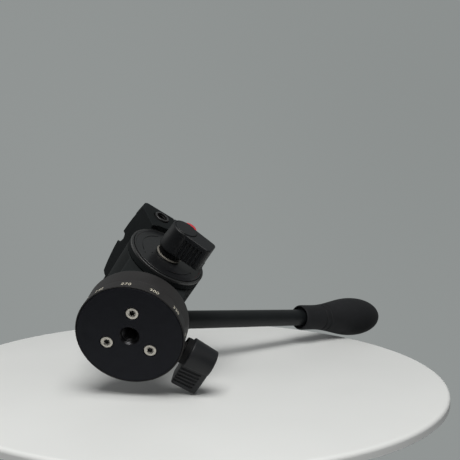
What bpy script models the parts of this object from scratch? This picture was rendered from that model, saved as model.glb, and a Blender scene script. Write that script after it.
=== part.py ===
"""Fluid video head with a pan base, a tilt drum, a plate clamp and a handle.

Metres, +Z up. The origin is the centre of the base's bottom face, where the thread that fastens the
head opens. The lens side faces +Y, the handle points to -Y and up, and the tilt lock is on -X.
"""

import math

import bmesh
import bpy
from mathutils import Matrix, Vector

# Clearances
SEAT_GAP = 0.0003
RUN_GAP = 0.0004
CUT_OVERRUN = 0.002

# Turned pieces
LARGE_SEGMENTS = 44
MEDIUM_SEGMENTS = 28
SMALL_SEGMENTS = 16
SCREW_SEGMENTS = 12
HEXAGON = 6
SMOOTH_ANGLE = math.radians(32)

# Base
BASE_RADIUS = 0.030
BASE_THICKNESS = 0.003
BASE_CHAMFER = 0.0003
BASE_BOSS_RADIUS = 0.0195
BASE_BOSS_HEIGHT = 0.006
BUSH_RADIUS = 0.0070
BUSH_LENGTH = 0.0125
THREAD_RADIUS = 0.0046
THREAD_MOUTH_RADIUS = 0.0055
BASE_SCREW_CIRCLE = 0.0139
BASE_SCREW_COUNT = 3
BASE_SCREW_FIRST_ANGLE = math.radians(37)

# Socket screws
SCREW_RADIUS = 0.0020
SCREW_HEAD_RADIUS = 0.0035
SCREW_HEAD_HEIGHT = 0.0038
SCREW_SOCKET_RADIUS = 0.0017
SCREW_SOCKET_DEPTH = 0.0022
SCREW_EDGE = 0.0003

# Number ring
SCALE_STEP = 0.0004
SCALE_RADIUS = BASE_RADIUS - SCALE_STEP
SCALE_LIP = 0.0006
SCALE_LIFT = 0.0002
SCALE_BAND = 0.0010
SCALE_HEIGHT = 0.0043
SCALE_CHAMFER = 0.0004

# Pan spindle and its pieces
FLANGE_RADIUS = 0.0186
FLANGE_THICKNESS = 0.0040
SPINDLE_ROOT_RADIUS = 0.0095
SPINDLE_ROOT_LENGTH = 0.0097
SPINDLE_RADIUS = 0.0060
SPINDLE_LENGTH = 0.0100
DRAG_RING_RADIUS = 0.0164
DRAG_RING_WALL = 0.0034
DRAG_RING_LENGTH = 0.0072
BEARING_RADIUS = 0.0107
BEARING_LENGTH = 0.0046
NUT_RADIUS = 0.0088
NUT_LENGTH = 0.0034

# Pan housing
HOUSING_STEP = 0.0005
HOUSING_RADIUS = BASE_RADIUS - HOUSING_STEP
HOUSING_BAND = 0.0112
HOUSING_SHOULDER = 0.0016
HOUSING_SHOULDER_WIDTH = 0.0023
HOUSING_SHOULDER_RADIUS = HOUSING_RADIUS - HOUSING_SHOULDER_WIDTH
HOUSING_FOOT_CHAMFER = 0.0005
HOUSING_SHOULDER_SHARES = (0.3, 0.65, 1.0)
NECK_TOP_RADIUS = 0.0185
BORE_ROOF = 0.0012

# Drum
TILT_HEIGHT = 0.0559
TILT_Y = 0.0018
DRUM_RADIUS = 0.0241
DRUM_LEFT = 0.0189
DRUM_RIGHT = 0.0110
DRUM_BORE_RADIUS = 0.0185
DRUM_NECK_HALF_WIDTH = 0.0190
DRUM_NECK_FOOT_HALF_WIDTH = 0.0200
DRUM_STEPS = 36

# Tilt axle and what rides on it
AXLE_RADIUS = 0.0050
BUSHING_LENGTH = 0.0046
DRAG_CUP_WALL = 0.0038
DRAG_CUP_LENGTH = 0.0100
ROTOR_LENGTH = 0.0082
SPRING_WIRE_RADIUS = 0.0009
SPRING_RADIUS = 0.0090
SPRING_PITCH = 0.0026
SPRING_TURNS = 3
SPRING_TURN_POINTS = 14

# Tilt bracket
EAR_THICKNESS = 0.0040
EAR_LIP = 0.0012
EAR_LIP_HEIGHT = 0.0013
CAP_THICKNESS = 0.0012
CAP_HOLE_RADIUS = 0.0068
BLOCK_HALF_WIDTH = 0.028
BLOCK_RISE = 0.0173
BLOCK_TOP = DRUM_RADIUS + BLOCK_RISE
BLOCK_LIP = 0.0044
BLOCK_LIP_LEAN_SHARE = 0.35
BLOCK_FRONT_CORNER = 0.0274
BLOCK_FRONT_CENTRE = 0.0300
BLOCK_FRONT_STEPS = 14
BLOCK_CORNER_CUT = 0.0018
BLOCK_REAR = 0.0205
BLOCK_REAR_FOOT = 0.026
BLOCK_REAR_ANGLE = math.radians(20)
BLOCK_TOE_Y = 0.0147
BLOCK_TOE_Z = 0.0148
BLOCK_DRUM_GAP = 0.0010
NOTCH_WIDTH = 0.0076
NOTCH_DEPTH = 0.0018

# Side plate with the handle's seat
SIDE_PLATE_THICKNESS = 0.0040
SIDE_PLATE_TAB = 0.0084
SIDE_PLATE_TOP = DRUM_RADIUS + SIDE_PLATE_TAB
SIDE_PLATE_HALF_WIDTH = 0.0095
SIDE_SHOULDER_STEPS = 3
SIDE_LOBE_STEPS = 16
SIDE_SCREW_SPACING = 0.0110
SIDE_SCREW_RISE = 0.0047
SIDE_SCREW_HEIGHT = DRUM_RADIUS + SIDE_SCREW_RISE
AXLE_CAP_RADIUS = 0.0115
AXLE_CAP_THICKNESS = 0.0018

# Clamp on top
CHANNEL_DEPTH = 0.0045
DOVETAIL_HALF_WIDTH = 0.0190
DOVETAIL_LIP = 0.0022
DOVETAIL_FOOT = 0.0012
JAW_REAR = 0.0178
JAW_FRONT = 0.0247
JAW_THICKNESS = 0.0038
JAW_DROP = 0.0165
JAW_TRAVEL = 0.0026
CLAMP_SCREW_RADIUS = 0.0025
CLAMP_SCREW_LENGTH = 0.016
CLAMP_SCREW_Y = 0.0122
CLAMP_SCREW_DROP = 0.0105
CLAMP_KNOB_RADIUS = 0.0078
CLAMP_KNOB_LENGTH = 0.0125
CLAMP_KNOB_FLUTES = 10
CLAMP_KNOB_FLUTE_DEPTH = 0.0007
CLAMP_KNOB_FLUTE_POINTS = 4

# Quick release plate
PLATE_LENGTH = 0.050
PLATE_THICKNESS = 0.0088
PLATE_NECK_HEIGHT = 0.0012
PLATE_EDGE = 0.0006
PAD_WIDTH = 0.0100
PAD_LENGTH = 0.042
PAD_HEIGHT = 0.0010
PAD_RECESS = 0.0006
PAD_OFFSET = 0.0125
CAMERA_SCREW_RADIUS = 0.0030
CAMERA_SCREW_RISE = 0.0055
CAMERA_SCREW_HEAD_RADIUS = 0.0062
CAMERA_SCREW_HEAD_HEIGHT = 0.0024

# Things on the bracket's left side
PORT_Y = 0.0139
PORT_DROP = 0.0083
PORT_Z = BLOCK_TOP - PORT_DROP
PORT_RADIUS = 0.0048
PORT_BORE_RADIUS = 0.0032
PORT_LENGTH = 0.0075
PORT_RISE = 0.0010
RECESS_FRONT = (0.0148, 0.0209)
RECESS_REAR = (0.0074, 0.0269)
RECESS_END = (0.0022, 0.0201)
BUTTON_Y = -0.0050
BUTTON_DROP = 0.0062
BUTTON_Z = BLOCK_TOP - BUTTON_DROP
BUTTON_RADIUS = 0.0048
BUTTON_RISE = 0.0045
BUTTON_EDGE = 0.0008
BUTTON_SEAT = 0.0034
BUTTON_STEM_RADIUS = 0.0018
BUTTON_POCKET = 0.0082
BUTTON_TRAVEL = 0.0025
LEVEL_Y = 0.0042
LEVEL_X = 0.0238
LEVEL_RADIUS = 0.0034
LEVEL_RING = 0.0008
LEVEL_DEPTH = 0.0022

# Winged lock knobs
KNOB_HUB_RADIUS = 0.0082
KNOB_HUB_OPEN = math.radians(62)
KNOB_LENGTH = 0.0172
KNOB_COLLAR_RADIUS = 0.0056
KNOB_COLLAR_LENGTH = 0.0030
KNOB_WING_REACH = 0.0202
KNOB_WING_TIP_HALF = 0.0064
KNOB_WING_CORNER = 0.0024
KNOB_EDGE = 0.0008
KNOB_FLUTE_COUNT = 5
KNOB_FLUTE_RADIUS = 0.0010
KNOB_FLUTE_DEPTH = 0.0006
KNOB_FLUTE_END = 0.0032
KNOB_FLUTE_SHARES = (0.12, 0.96)
KNOB_FLUTE_SEGMENTS = 8
KNOB_HUB_STEPS = 18
KNOB_CORNER_STEPS = 4
KNOB_FACE_RADIUS = 0.0070
KNOB_FACE_RISE = 0.0003
KNOB_STUD_RADIUS = 0.0020
KNOB_STUD_GRIP = 0.0130
PAN_KNOB_HEIGHT = 0.0128
PAN_KNOB_ANGLE = math.radians(-2.5)
PAN_BOSS_RADIUS = 0.0045
PAN_BOSS_RISE = 0.0023
SHOE_RADIUS = 0.0020
SHOE_LENGTH = 0.0038
TILT_KNOB_DROP = math.radians(13)
TILT_STUD_DEPTH = 0.010
WASHER_RADIUS = 0.0080
WASHER_THICKNESS = 0.0014
WASHER_BOSS_RADIUS = 0.0054
WASHER_BOSS_LENGTH = 0.0021

# Handle
HANDLE_PIVOT_BACK = 0.0220
HANDLE_PIVOT_RISE = 0.0110
HANDLE_RISE = math.radians(40)
HANDLE_YAW = math.radians(5.5)
EYE_RADIUS = 0.0084
EYE_WIDTH = 0.0136
EYE_EDGE = 0.0006
HANDLE_STUD_RADIUS = 0.0030
HANDLE_KNOB_RADIUS = 0.0090
HANDLE_KNOB_LOBES = 6
HANDLE_KNOB_LOBE_POINTS = 8
HANDLE_KNOB_LOBE_HEIGHT = 0.0007
HANDLE_KNOB_LENGTH = 0.0125
SPIGOT_RADIUS = 0.0040
SPIGOT_END = 0.0042
TUBE_RADIUS = 0.0060
GRIP_START = 0.1204
GRIP_LENGTH = 0.0952
GRIP_BORE = 0.076
GRIP_MOUTH = 0.0017
GRIP_MOUTH_DEPTH = 0.0030
GRIP_NECK_RADIUS = 0.0091
GRIP_BULB_RADIUS = 0.0150
GRIP_BULB_AT = 0.0610
GRIP_WAIST_END = 0.0150
GRIP_STEPS = 16
GRIP_STEP_POWER = 1.15
GRIP_SWELL_POWER = 1.08
GRIP_END_POWER = 2.1
GRIP_GROOVES = (0.0318, 0.0382)
GRIP_GROOVE_WIDTH = 0.0016
GRIP_GROOVE_DEPTH = 0.0007

BLACK = (0.012, 0.012, 0.013)
BLACK_BROWN = (0.020, 0.018, 0.017)
RUBBER = (0.010, 0.010, 0.010)
STEEL = (0.55, 0.54, 0.52)
DARK_STEEL = (0.10, 0.10, 0.10)
BRASS = (0.55, 0.42, 0.20)
RED = (0.60, 0.02, 0.04)
NYLON = (0.60, 0.58, 0.50)
VIAL_GREEN = (0.45, 0.70, 0.10)

# Outlines drawn in the Y-Z plane run along X, and those in the X-Z plane run along Y.
ALONG_X = Matrix(((0, 0, 1, 0), (1, 0, 0, 0), (0, 1, 0, 0), (0, 0, 0, 1)))
ALONG_Y = Matrix(((1, 0, 0, 0), (0, 0, 1, 0), (0, 1, 0, 0), (0, 0, 0, 1)))
ALONG_Z = Matrix.Identity(4)
OUT_BACK = Matrix.Rotation(math.pi / 2, 4, "X")
OUT_RIGHT = Matrix.Rotation(math.pi / 2, 4, "Y")
OUT_LEFT = Matrix.Rotation(-math.pi / 2, 4, "Y")
WING_TO_REAR = Matrix(((0, 0, -1, 0), (-1, 0, 0, 0), (0, 1, 0, 0), (0, 0, 0, 1)))
PAN_KNOB_OUT = Matrix.Rotation(PAN_KNOB_ANGLE, 4, "Z") @ OUT_BACK


def clear_scene():
    for item in list(bpy.data.objects):
        bpy.data.objects.remove(item, do_unlink=True)


def finish(name, colour, roughness, metallic):
    """One Principled material for one sub-part."""
    material = bpy.data.materials.new(name + "_finish")
    material.use_nodes = True
    shader = material.node_tree.nodes["Principled BSDF"]
    shader.inputs["Base Color"].default_value = (*colour, 1)
    shader.inputs["Roughness"].default_value = roughness
    shader.inputs["Metallic"].default_value = metallic
    material.diffuse_color = (*colour, 1)
    return material


def add_frame(name, location, rotation=None, parent=None):
    """An empty on a joint's axis, which carries the pieces that move about it."""
    empty = bpy.data.objects.new(name, None)
    bpy.context.scene.collection.objects.link(empty)
    empty.empty_display_size = BASE_RADIUS
    empty.parent = parent
    placement = Matrix.Translation(Vector(location))
    if rotation is not None:
        placement = placement @ rotation.to_4x4()
    empty.matrix_local = placement
    return empty


def add_solid(name, shape, frame, colour=None, roughness=0.5, metallic=0.0):
    """Turn a bmesh into an object under a frame. Without a colour it is a cutter or a guide."""
    bmesh.ops.recalc_face_normals(shape, faces=shape.faces)
    mesh = bpy.data.meshes.new(name)
    shape.to_mesh(mesh)
    shape.free()
    mesh.shade_smooth()
    mesh.set_sharp_from_angle(angle=SMOOTH_ANGLE)
    solid = bpy.data.objects.new(name, mesh)
    bpy.context.scene.collection.objects.link(solid)
    solid.parent = frame
    if colour is None:
        solid.hide_render = True
        solid.display_type = "WIRE"
    else:
        mesh.materials.append(finish(name, colour, roughness, metallic))
    return solid


def turned_shape(profile, segments, turn=ALONG_Z, closed=True):
    """Spin a profile of (radius, height) points about Z, then turn the axis."""
    shape = bmesh.new()
    points = [shape.verts.new((radius, 0, height)) for radius, height in profile]
    pairs = list(zip(points, points[1:]))
    if closed:
        pairs.append((points[-1], points[0]))
    edges = [shape.edges.new(pair) for pair in pairs]
    bmesh.ops.spin(
        shape, geom=points + edges, cent=(0, 0, 0), axis=(0, 0, 1),
        angle=math.tau, steps=segments, use_merge=True, use_duplicate=False)
    bmesh.ops.remove_doubles(shape, verts=shape.verts, dist=1e-7)
    bmesh.ops.dissolve_degenerate(shape, edges=shape.edges, dist=1e-7)
    bmesh.ops.transform(shape, matrix=turn, verts=shape.verts)
    return shape


def rod_profile(radius, low, high, edge=0.0):
    """A rod from low to high along the axis, with both ends chamfered."""
    if edge == 0:
        return [(0, low), (radius, low), (radius, high), (0, high)]
    return [(0, low), (radius - edge, low), (radius, low + edge),
            (radius, high - edge), (radius - edge, high), (0, high)]


def ring_profile(inner, outer, low, high, edge=0.0):
    """A ring from low to high along the axis, with its outer edges chamfered."""
    if edge == 0:
        return [(inner, low), (outer, low), (outer, high), (inner, high)]
    return [(inner, low), (outer - edge, low), (outer, low + edge),
            (outer, high - edge), (outer - edge, high), (inner, high)]


def rod_shape(radius, low, high, segments, turn=ALONG_Z, edge=0.0):
    return turned_shape(rod_profile(radius, low, high, edge), segments, turn, closed=False)


def ring_shape(inner, outer, low, high, segments, turn=ALONG_Z, edge=0.0):
    return turned_shape(ring_profile(inner, outer, low, high, edge), segments, turn)


def prism_shape(outline, low, high, turn=ALONG_Z, edge=0.0):
    """Extrude an outline from low to high, with a chamfer round its high end."""
    shape = bmesh.new()
    corners = [shape.verts.new((u, v, low)) for u, v in outline]
    face = shape.faces.new(corners)
    lifted = bmesh.ops.extrude_face_region(shape, geom=[face])
    top = [item for item in lifted["geom"] if isinstance(item, bmesh.types.BMVert)]
    bmesh.ops.translate(shape, verts=top, vec=(0, 0, high - low - edge))
    if edge > 0:
        cap = [item for item in lifted["geom"] if isinstance(item, bmesh.types.BMFace)]
        bmesh.ops.recalc_face_normals(shape, faces=shape.faces)
        bmesh.ops.inset_region(shape, faces=cap, thickness=edge, depth=edge, use_even_offset=True)
    bmesh.ops.transform(shape, matrix=turn, verts=shape.verts)
    return shape


def box_shape(low, high):
    """A box between two opposite corners."""
    outline = [(low[0], low[1]), (high[0], low[1]), (high[0], high[1]), (low[0], high[1])]
    return prism_shape(outline, low[2], high[2])


def arc(radius, start, end, steps, centre=(0, 0)):
    """Points of an arc, both ends included."""
    points = []
    for step in range(steps + 1):
        angle = start + (end - start) * step / steps
        points.append((centre[0] + radius * math.cos(angle), centre[1] + radius * math.sin(angle)))
    return points


def combine(solid, other, operation):
    modifier = solid.modifiers.new(operation.lower(), "BOOLEAN")
    modifier.operation = operation
    modifier.solver = "EXACT"
    modifier.object = other


def cut(solid, shape):
    """Take a shape away from a solid, in the solid's own frame."""
    cutter = add_solid(solid.name + "_cutter", shape, solid.parent)
    cutter.location = solid.location
    combine(solid, cutter, "DIFFERENCE")


def join(solid, shape):
    """Add a shape to a solid, in the solid's own frame."""
    guide = add_solid(solid.name + "_joined", shape, solid.parent)
    guide.location = solid.location
    combine(solid, guide, "UNION")


def keep_inside(solid, shape):
    """Trim a solid to what lies inside a shape."""
    guide = add_solid(solid.name + "_limit", shape, solid.parent)
    guide.location = solid.location
    combine(solid, guide, "INTERSECT")


def moved(shape, offset, angle=0.0):
    """Shift a shape, after turning it about Z."""
    placement = Matrix.Translation(Vector(offset)) @ Matrix.Rotation(angle, 4, "Z")
    bmesh.ops.transform(shape, matrix=placement, verts=shape.verts)
    return shape


def socket_screw_shape(length, turn=ALONG_Z):
    """A socket cap screw with its head's face at zero and its shank along +Z."""
    profile = [
        (0, 0), (SCREW_HEAD_RADIUS - SCREW_EDGE, 0), (SCREW_HEAD_RADIUS, SCREW_EDGE),
        (SCREW_HEAD_RADIUS, SCREW_HEAD_HEIGHT), (SCREW_RADIUS, SCREW_HEAD_HEIGHT),
        (SCREW_RADIUS, length - SCREW_EDGE), (SCREW_RADIUS - SCREW_EDGE, length), (0, length)]
    return turned_shape(profile, SCREW_SEGMENTS, turn, closed=False)


def socket_shape(turn=ALONG_Z):
    """The hexagonal recess of a socket screw."""
    return rod_shape(SCREW_SOCKET_RADIUS, -CUT_OVERRUN, SCREW_SOCKET_DEPTH, HEXAGON, turn)


def base_screw_places():
    step = math.tau / BASE_SCREW_COUNT
    for index in range(BASE_SCREW_COUNT):
        angle = BASE_SCREW_FIRST_ANGLE + index * step
        yield index + 1, (BASE_SCREW_CIRCLE * math.cos(angle), BASE_SCREW_CIRCLE * math.sin(angle))


# Heights of the stack on the pan axis
SCALE_FOOT = BASE_THICKNESS + SEAT_GAP
SCALE_TOP = SCALE_FOOT + SCALE_HEIGHT
HOUSING_FOOT = SCALE_TOP + SEAT_GAP
HOUSING_BAND_TOP = HOUSING_FOOT + HOUSING_BAND
HOUSING_SHOULDER_TOP = HOUSING_BAND_TOP + HOUSING_SHOULDER
FLANGE_FOOT = BASE_BOSS_HEIGHT + SEAT_GAP
FLANGE_TOP = FLANGE_FOOT + FLANGE_THICKNESS
SPINDLE_ROOT_TOP = FLANGE_TOP + SPINDLE_ROOT_LENGTH
SPINDLE_TOP = SPINDLE_ROOT_TOP + SPINDLE_LENGTH
DRAG_RING_FOOT = FLANGE_TOP + SEAT_GAP
DRAG_RING_TOP = DRAG_RING_FOOT + DRAG_RING_LENGTH
BEARING_FOOT = SPINDLE_ROOT_TOP + SEAT_GAP
BEARING_TOP = BEARING_FOOT + BEARING_LENGTH
NUT_FOOT = BEARING_TOP + SEAT_GAP
NUT_TOP = NUT_FOOT + NUT_LENGTH
NECK_TOP = TILT_HEIGHT - DRUM_RADIUS - RUN_GAP
BORE_TOP = max(NUT_TOP, SPINDLE_TOP) + BORE_ROOF


def make_base(frame):
    rim = BASE_RADIUS - SCALE_LIP - SEAT_GAP
    plate_profile = [
        (BUSH_RADIUS + SEAT_GAP, 0), (rim - BASE_CHAMFER, 0), (rim, BASE_CHAMFER), (rim, BASE_THICKNESS),
        (BASE_BOSS_RADIUS, BASE_THICKNESS), (BASE_BOSS_RADIUS, BASE_BOSS_HEIGHT),
        (BUSH_RADIUS + SEAT_GAP, BASE_BOSS_HEIGHT)]
    plate = add_solid("base_plate", turned_shape(plate_profile, LARGE_SEGMENTS), frame, BLACK, 0.45, 0.6)
    seat = SCREW_HEAD_HEIGHT + 2 * SEAT_GAP
    for _, place in base_screw_places():
        head = rod_shape(SCREW_HEAD_RADIUS + SEAT_GAP, -CUT_OVERRUN, seat, SCREW_SEGMENTS)
        hole = rod_shape(
            SCREW_RADIUS + SEAT_GAP, -CUT_OVERRUN, BASE_BOSS_HEIGHT + CUT_OVERRUN, SCREW_SEGMENTS)
        cut(plate, moved(head, (*place, 0)))
        cut(plate, moved(hole, (*place, 0)))

    bush_profile = [
        (THREAD_MOUTH_RADIUS, SEAT_GAP), (BUSH_RADIUS, SEAT_GAP), (BUSH_RADIUS, BUSH_LENGTH),
        (THREAD_RADIUS, BUSH_LENGTH), (THREAD_RADIUS, SEAT_GAP + THREAD_MOUTH_RADIUS - THREAD_RADIUS)]
    add_solid("thread_bush", turned_shape(bush_profile, MEDIUM_SEGMENTS), frame, DARK_STEEL, 0.35, 1.0)

    # The number ring lies on the plate's flange and reaches down round it with a thin lip
    lip = rim + SEAT_GAP
    inner = BASE_BOSS_RADIUS + SEAT_GAP
    ring_outline = [
        (inner, SCALE_FOOT), (lip, SCALE_FOOT), (lip, SCALE_LIFT), (BASE_RADIUS - SCALE_LIFT, SCALE_LIFT),
        (BASE_RADIUS, 2 * SCALE_LIFT), (BASE_RADIUS, SCALE_BAND), (SCALE_RADIUS, SCALE_TOP - SCALE_CHAMFER),
        (SCALE_RADIUS - SCALE_CHAMFER, SCALE_TOP), (inner, SCALE_TOP)]
    add_solid("scale_ring", turned_shape(ring_outline, LARGE_SEGMENTS), frame, BLACK_BROWN, 0.5, 0.4)


def make_spindle(frame):
    bush_room = BUSH_RADIUS + SEAT_GAP
    profile = [
        (bush_room, FLANGE_FOOT), (FLANGE_RADIUS, FLANGE_FOOT), (FLANGE_RADIUS, FLANGE_TOP),
        (SPINDLE_ROOT_RADIUS, FLANGE_TOP), (SPINDLE_ROOT_RADIUS, SPINDLE_ROOT_TOP),
        (SPINDLE_RADIUS, SPINDLE_ROOT_TOP), (SPINDLE_RADIUS, SPINDLE_TOP), (0, SPINDLE_TOP),
        (0, BUSH_LENGTH + SEAT_GAP), (bush_room, BUSH_LENGTH + SEAT_GAP)]
    spindle = add_solid("pan_spindle", turned_shape(profile, MEDIUM_SEGMENTS), frame, STEEL, 0.35, 1.0)
    for _, place in base_screw_places():
        hole = rod_shape(
            SCREW_RADIUS + SEAT_GAP, FLANGE_FOOT - CUT_OVERRUN, FLANGE_TOP + CUT_OVERRUN, SCREW_SEGMENTS)
        cut(spindle, moved(hole, (*place, 0)))

    add_solid("pan_drag_ring", ring_shape(
        DRAG_RING_RADIUS - DRAG_RING_WALL, DRAG_RING_RADIUS, DRAG_RING_FOOT, DRAG_RING_TOP,
        MEDIUM_SEGMENTS), frame, BRASS, 0.4, 1.0)
    nut = add_solid("spindle_nut", ring_shape(
        SPINDLE_RADIUS + SEAT_GAP, NUT_RADIUS, NUT_FOOT, NUT_TOP, MEDIUM_SEGMENTS), frame, STEEL, 0.4, 1.0)
    keep_inside(nut, rod_shape(NUT_RADIUS, NUT_FOOT - CUT_OVERRUN, NUT_TOP + CUT_OVERRUN, HEXAGON))


def make_base_screws(frame):
    length = FLANGE_TOP - SCREW_EDGE
    for number, place in base_screw_places():
        screw = add_solid("base_screw_%d" % number, socket_screw_shape(length), frame, STEEL, 0.3, 1.0)
        screw.location = (*place, SEAT_GAP)
        cut(screw, socket_shape())


def drum_outline():
    """The drum and its neck seen along X, as (y, z) points, open at the bottom of the neck."""
    lean = math.asin(DRUM_NECK_HALF_WIDTH / DRUM_RADIUS)
    start = lean - math.pi / 2
    end = math.pi - start
    round_part = arc(DRUM_RADIUS, start, end, DRUM_STEPS, (TILT_Y, TILT_HEIGHT))
    foot = HOUSING_BAND_TOP - HOUSING_SHOULDER
    front = (TILT_Y + DRUM_NECK_FOOT_HALF_WIDTH, foot)
    rear = (TILT_Y - DRUM_NECK_FOOT_HALF_WIDTH, foot)
    return [front] + round_part + [rear]


def make_pan_housing(frame):
    profile = [
        (0, HOUSING_FOOT), (HOUSING_RADIUS - HOUSING_FOOT_CHAMFER, HOUSING_FOOT),
        (HOUSING_RADIUS, HOUSING_FOOT + HOUSING_FOOT_CHAMFER), (HOUSING_RADIUS, HOUSING_BAND_TOP)]
    for share in HOUSING_SHOULDER_SHARES:
        turn = share * math.pi / 2
        profile.append((HOUSING_SHOULDER_RADIUS + HOUSING_SHOULDER_WIDTH * math.cos(turn),
                        HOUSING_BAND_TOP + HOUSING_SHOULDER * math.sin(turn)))
    profile += [(NECK_TOP_RADIUS, NECK_TOP), (0, NECK_TOP)]
    housing = add_solid(
        "pan_housing", turned_shape(profile, LARGE_SEGMENTS, closed=False), frame, BLACK_BROWN, 0.5, 0.5)
    join(housing, prism_shape(drum_outline(), -DRUM_LEFT, DRUM_RIGHT, ALONG_X))
    boss = rod_shape(
        PAN_BOSS_RADIUS, HOUSING_RADIUS - PAN_BOSS_RADIUS, HOUSING_RADIUS + PAN_BOSS_RISE,
        SMALL_SEGMENTS, PAN_KNOB_OUT)
    join(housing, moved(boss, (0, 0, PAN_KNOB_HEIGHT)))

    flange_room = FLANGE_RADIUS + RUN_GAP
    drag_room = DRAG_RING_RADIUS + RUN_GAP
    bearing_room = BEARING_RADIUS + SEAT_GAP
    bore = [
        (0, HOUSING_FOOT - CUT_OVERRUN), (flange_room, HOUSING_FOOT - CUT_OVERRUN),
        (flange_room, FLANGE_TOP + RUN_GAP), (drag_room, FLANGE_TOP + RUN_GAP),
        (drag_room, DRAG_RING_TOP + RUN_GAP), (bearing_room, DRAG_RING_TOP + RUN_GAP),
        (bearing_room, BORE_TOP), (0, BORE_TOP)]
    cut(housing, turned_shape(bore, MEDIUM_SEGMENTS, closed=False))
    drum_bore = rod_shape(
        DRUM_BORE_RADIUS, -DRUM_LEFT - CUT_OVERRUN, DRUM_RIGHT + CUT_OVERRUN, MEDIUM_SEGMENTS,
        OUT_RIGHT)
    cut(housing, moved(drum_bore, (0, TILT_Y, TILT_HEIGHT)))
    stud_hole = rod_shape(
        SHOE_RADIUS + SEAT_GAP, DRAG_RING_RADIUS - CUT_OVERRUN, HOUSING_RADIUS + PAN_BOSS_RISE + CUT_OVERRUN,
        SMALL_SEGMENTS, PAN_KNOB_OUT)
    cut(housing, moved(stud_hole, (0, 0, PAN_KNOB_HEIGHT)))


def make_pan_inside(frame):
    add_solid("pan_bearing", ring_shape(
        SPINDLE_RADIUS + SEAT_GAP, BEARING_RADIUS, BEARING_FOOT, BEARING_TOP, MEDIUM_SEGMENTS),
        frame, STEEL, 0.25, 1.0)
    shoe = rod_shape(
        SHOE_RADIUS, DRAG_RING_RADIUS + SEAT_GAP, DRAG_RING_RADIUS + SEAT_GAP + SHOE_LENGTH,
        SMALL_SEGMENTS, PAN_KNOB_OUT)
    add_solid("pan_lock_shoe", moved(shoe, (0, 0, PAN_KNOB_HEIGHT)), frame, NYLON, 0.5, 0.0)
    outer = DRUM_BORE_RADIUS - SEAT_GAP
    inner = AXLE_RADIUS + RUN_GAP
    along = Matrix.Translation((0, TILT_Y, TILT_HEIGHT)) @ OUT_RIGHT
    left = -DRUM_LEFT + SEAT_GAP
    right = DRUM_RIGHT - SEAT_GAP
    add_solid("tilt_bushing_left", ring_shape(
        inner, outer, left, left + BUSHING_LENGTH, MEDIUM_SEGMENTS, along), frame, BRASS, 0.4, 1.0)
    add_solid("tilt_bushing_right", ring_shape(
        inner, outer, right - BUSHING_LENGTH, right, MEDIUM_SEGMENTS, along), frame, BRASS, 0.4, 1.0)
    cup = left + BUSHING_LENGTH + SEAT_GAP
    add_solid("tilt_drag_cup", ring_shape(
        outer - DRAG_CUP_WALL, outer, cup, cup + DRAG_CUP_LENGTH, MEDIUM_SEGMENTS, along),
        frame, DARK_STEEL, 0.4, 1.0)


def knob_side():
    """The two ends of the wing's straight side, from the hub to the tip, as (x, y) points."""
    hub = Vector((math.cos(KNOB_HUB_OPEN), -math.sin(KNOB_HUB_OPEN))) * KNOB_HUB_RADIUS
    return hub, Vector((KNOB_WING_REACH - KNOB_WING_CORNER, -KNOB_WING_TIP_HALF))


def knob_outline():
    """A round hub with a tapering wing along +X."""
    corner = KNOB_WING_CORNER
    across = KNOB_WING_TIP_HALF - corner
    tip = KNOB_WING_REACH - corner
    quarter = math.pi / 2
    hub = arc(KNOB_HUB_RADIUS, KNOB_HUB_OPEN, math.tau - KNOB_HUB_OPEN, KNOB_HUB_STEPS)
    lower = arc(corner, -quarter, 0, KNOB_CORNER_STEPS, (tip, -across))
    upper = arc(corner, 0, quarter, KNOB_CORNER_STEPS, (tip, across))
    return hub + lower + upper


def flute_shape(side):
    """The grip flutes of one side of the wing, as round bars that end short of the knob's face."""
    flutes = bmesh.new()
    root, tip = knob_side()
    outward = Vector((root.y - tip.y, tip.x - root.x)).normalized()
    low = KNOB_COLLAR_LENGTH - CUT_OVERRUN
    high = KNOB_LENGTH - KNOB_FLUTE_END
    first, last = KNOB_FLUTE_SHARES
    for index in range(KNOB_FLUTE_COUNT):
        share = first + (last - first) * index / (KNOB_FLUTE_COUNT - 1)
        place = root.lerp(tip, share) - outward * (KNOB_FLUTE_RADIUS - KNOB_FLUTE_DEPTH)
        bar = rod_shape(KNOB_FLUTE_RADIUS, low, high, KNOB_FLUTE_SEGMENTS, edge=KNOB_FLUTE_DEPTH)
        moved(bar, (place.x, place.y * side, 0))
        part = bpy.data.meshes.new("flute")
        bar.to_mesh(part)
        bar.free()
        flutes.from_mesh(part)
        bpy.data.meshes.remove(part)
    return flutes


def winged_knob_shape():
    return prism_shape(knob_outline(), KNOB_COLLAR_LENGTH, KNOB_LENGTH, edge=KNOB_EDGE)


def make_winged_knob(name, frame, stud_name, stud_depth):
    """A knob that stands on its frame's origin, with a stud that reaches down into the head."""
    knob = add_solid(name, winged_knob_shape(), frame, BLACK, 0.6, 0.0)
    join(knob, rod_shape(KNOB_COLLAR_RADIUS, 0, KNOB_COLLAR_LENGTH + KNOB_EDGE, SMALL_SEGMENTS))
    face_low = KNOB_LENGTH - KNOB_EDGE
    join(knob, rod_shape(KNOB_FACE_RADIUS, face_low, KNOB_LENGTH + KNOB_FACE_RISE, MEDIUM_SEGMENTS))
    cut(knob, flute_shape(1))
    cut(knob, flute_shape(-1))
    grip = KNOB_STUD_GRIP
    cut(knob, rod_shape(KNOB_STUD_RADIUS + SEAT_GAP, -CUT_OVERRUN, grip + SEAT_GAP, SMALL_SEGMENTS))
    stud = rod_shape(KNOB_STUD_RADIUS, -stud_depth, grip, SMALL_SEGMENTS)
    add_solid(stud_name, stud, frame, STEEL, 0.3, 1.0)


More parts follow.
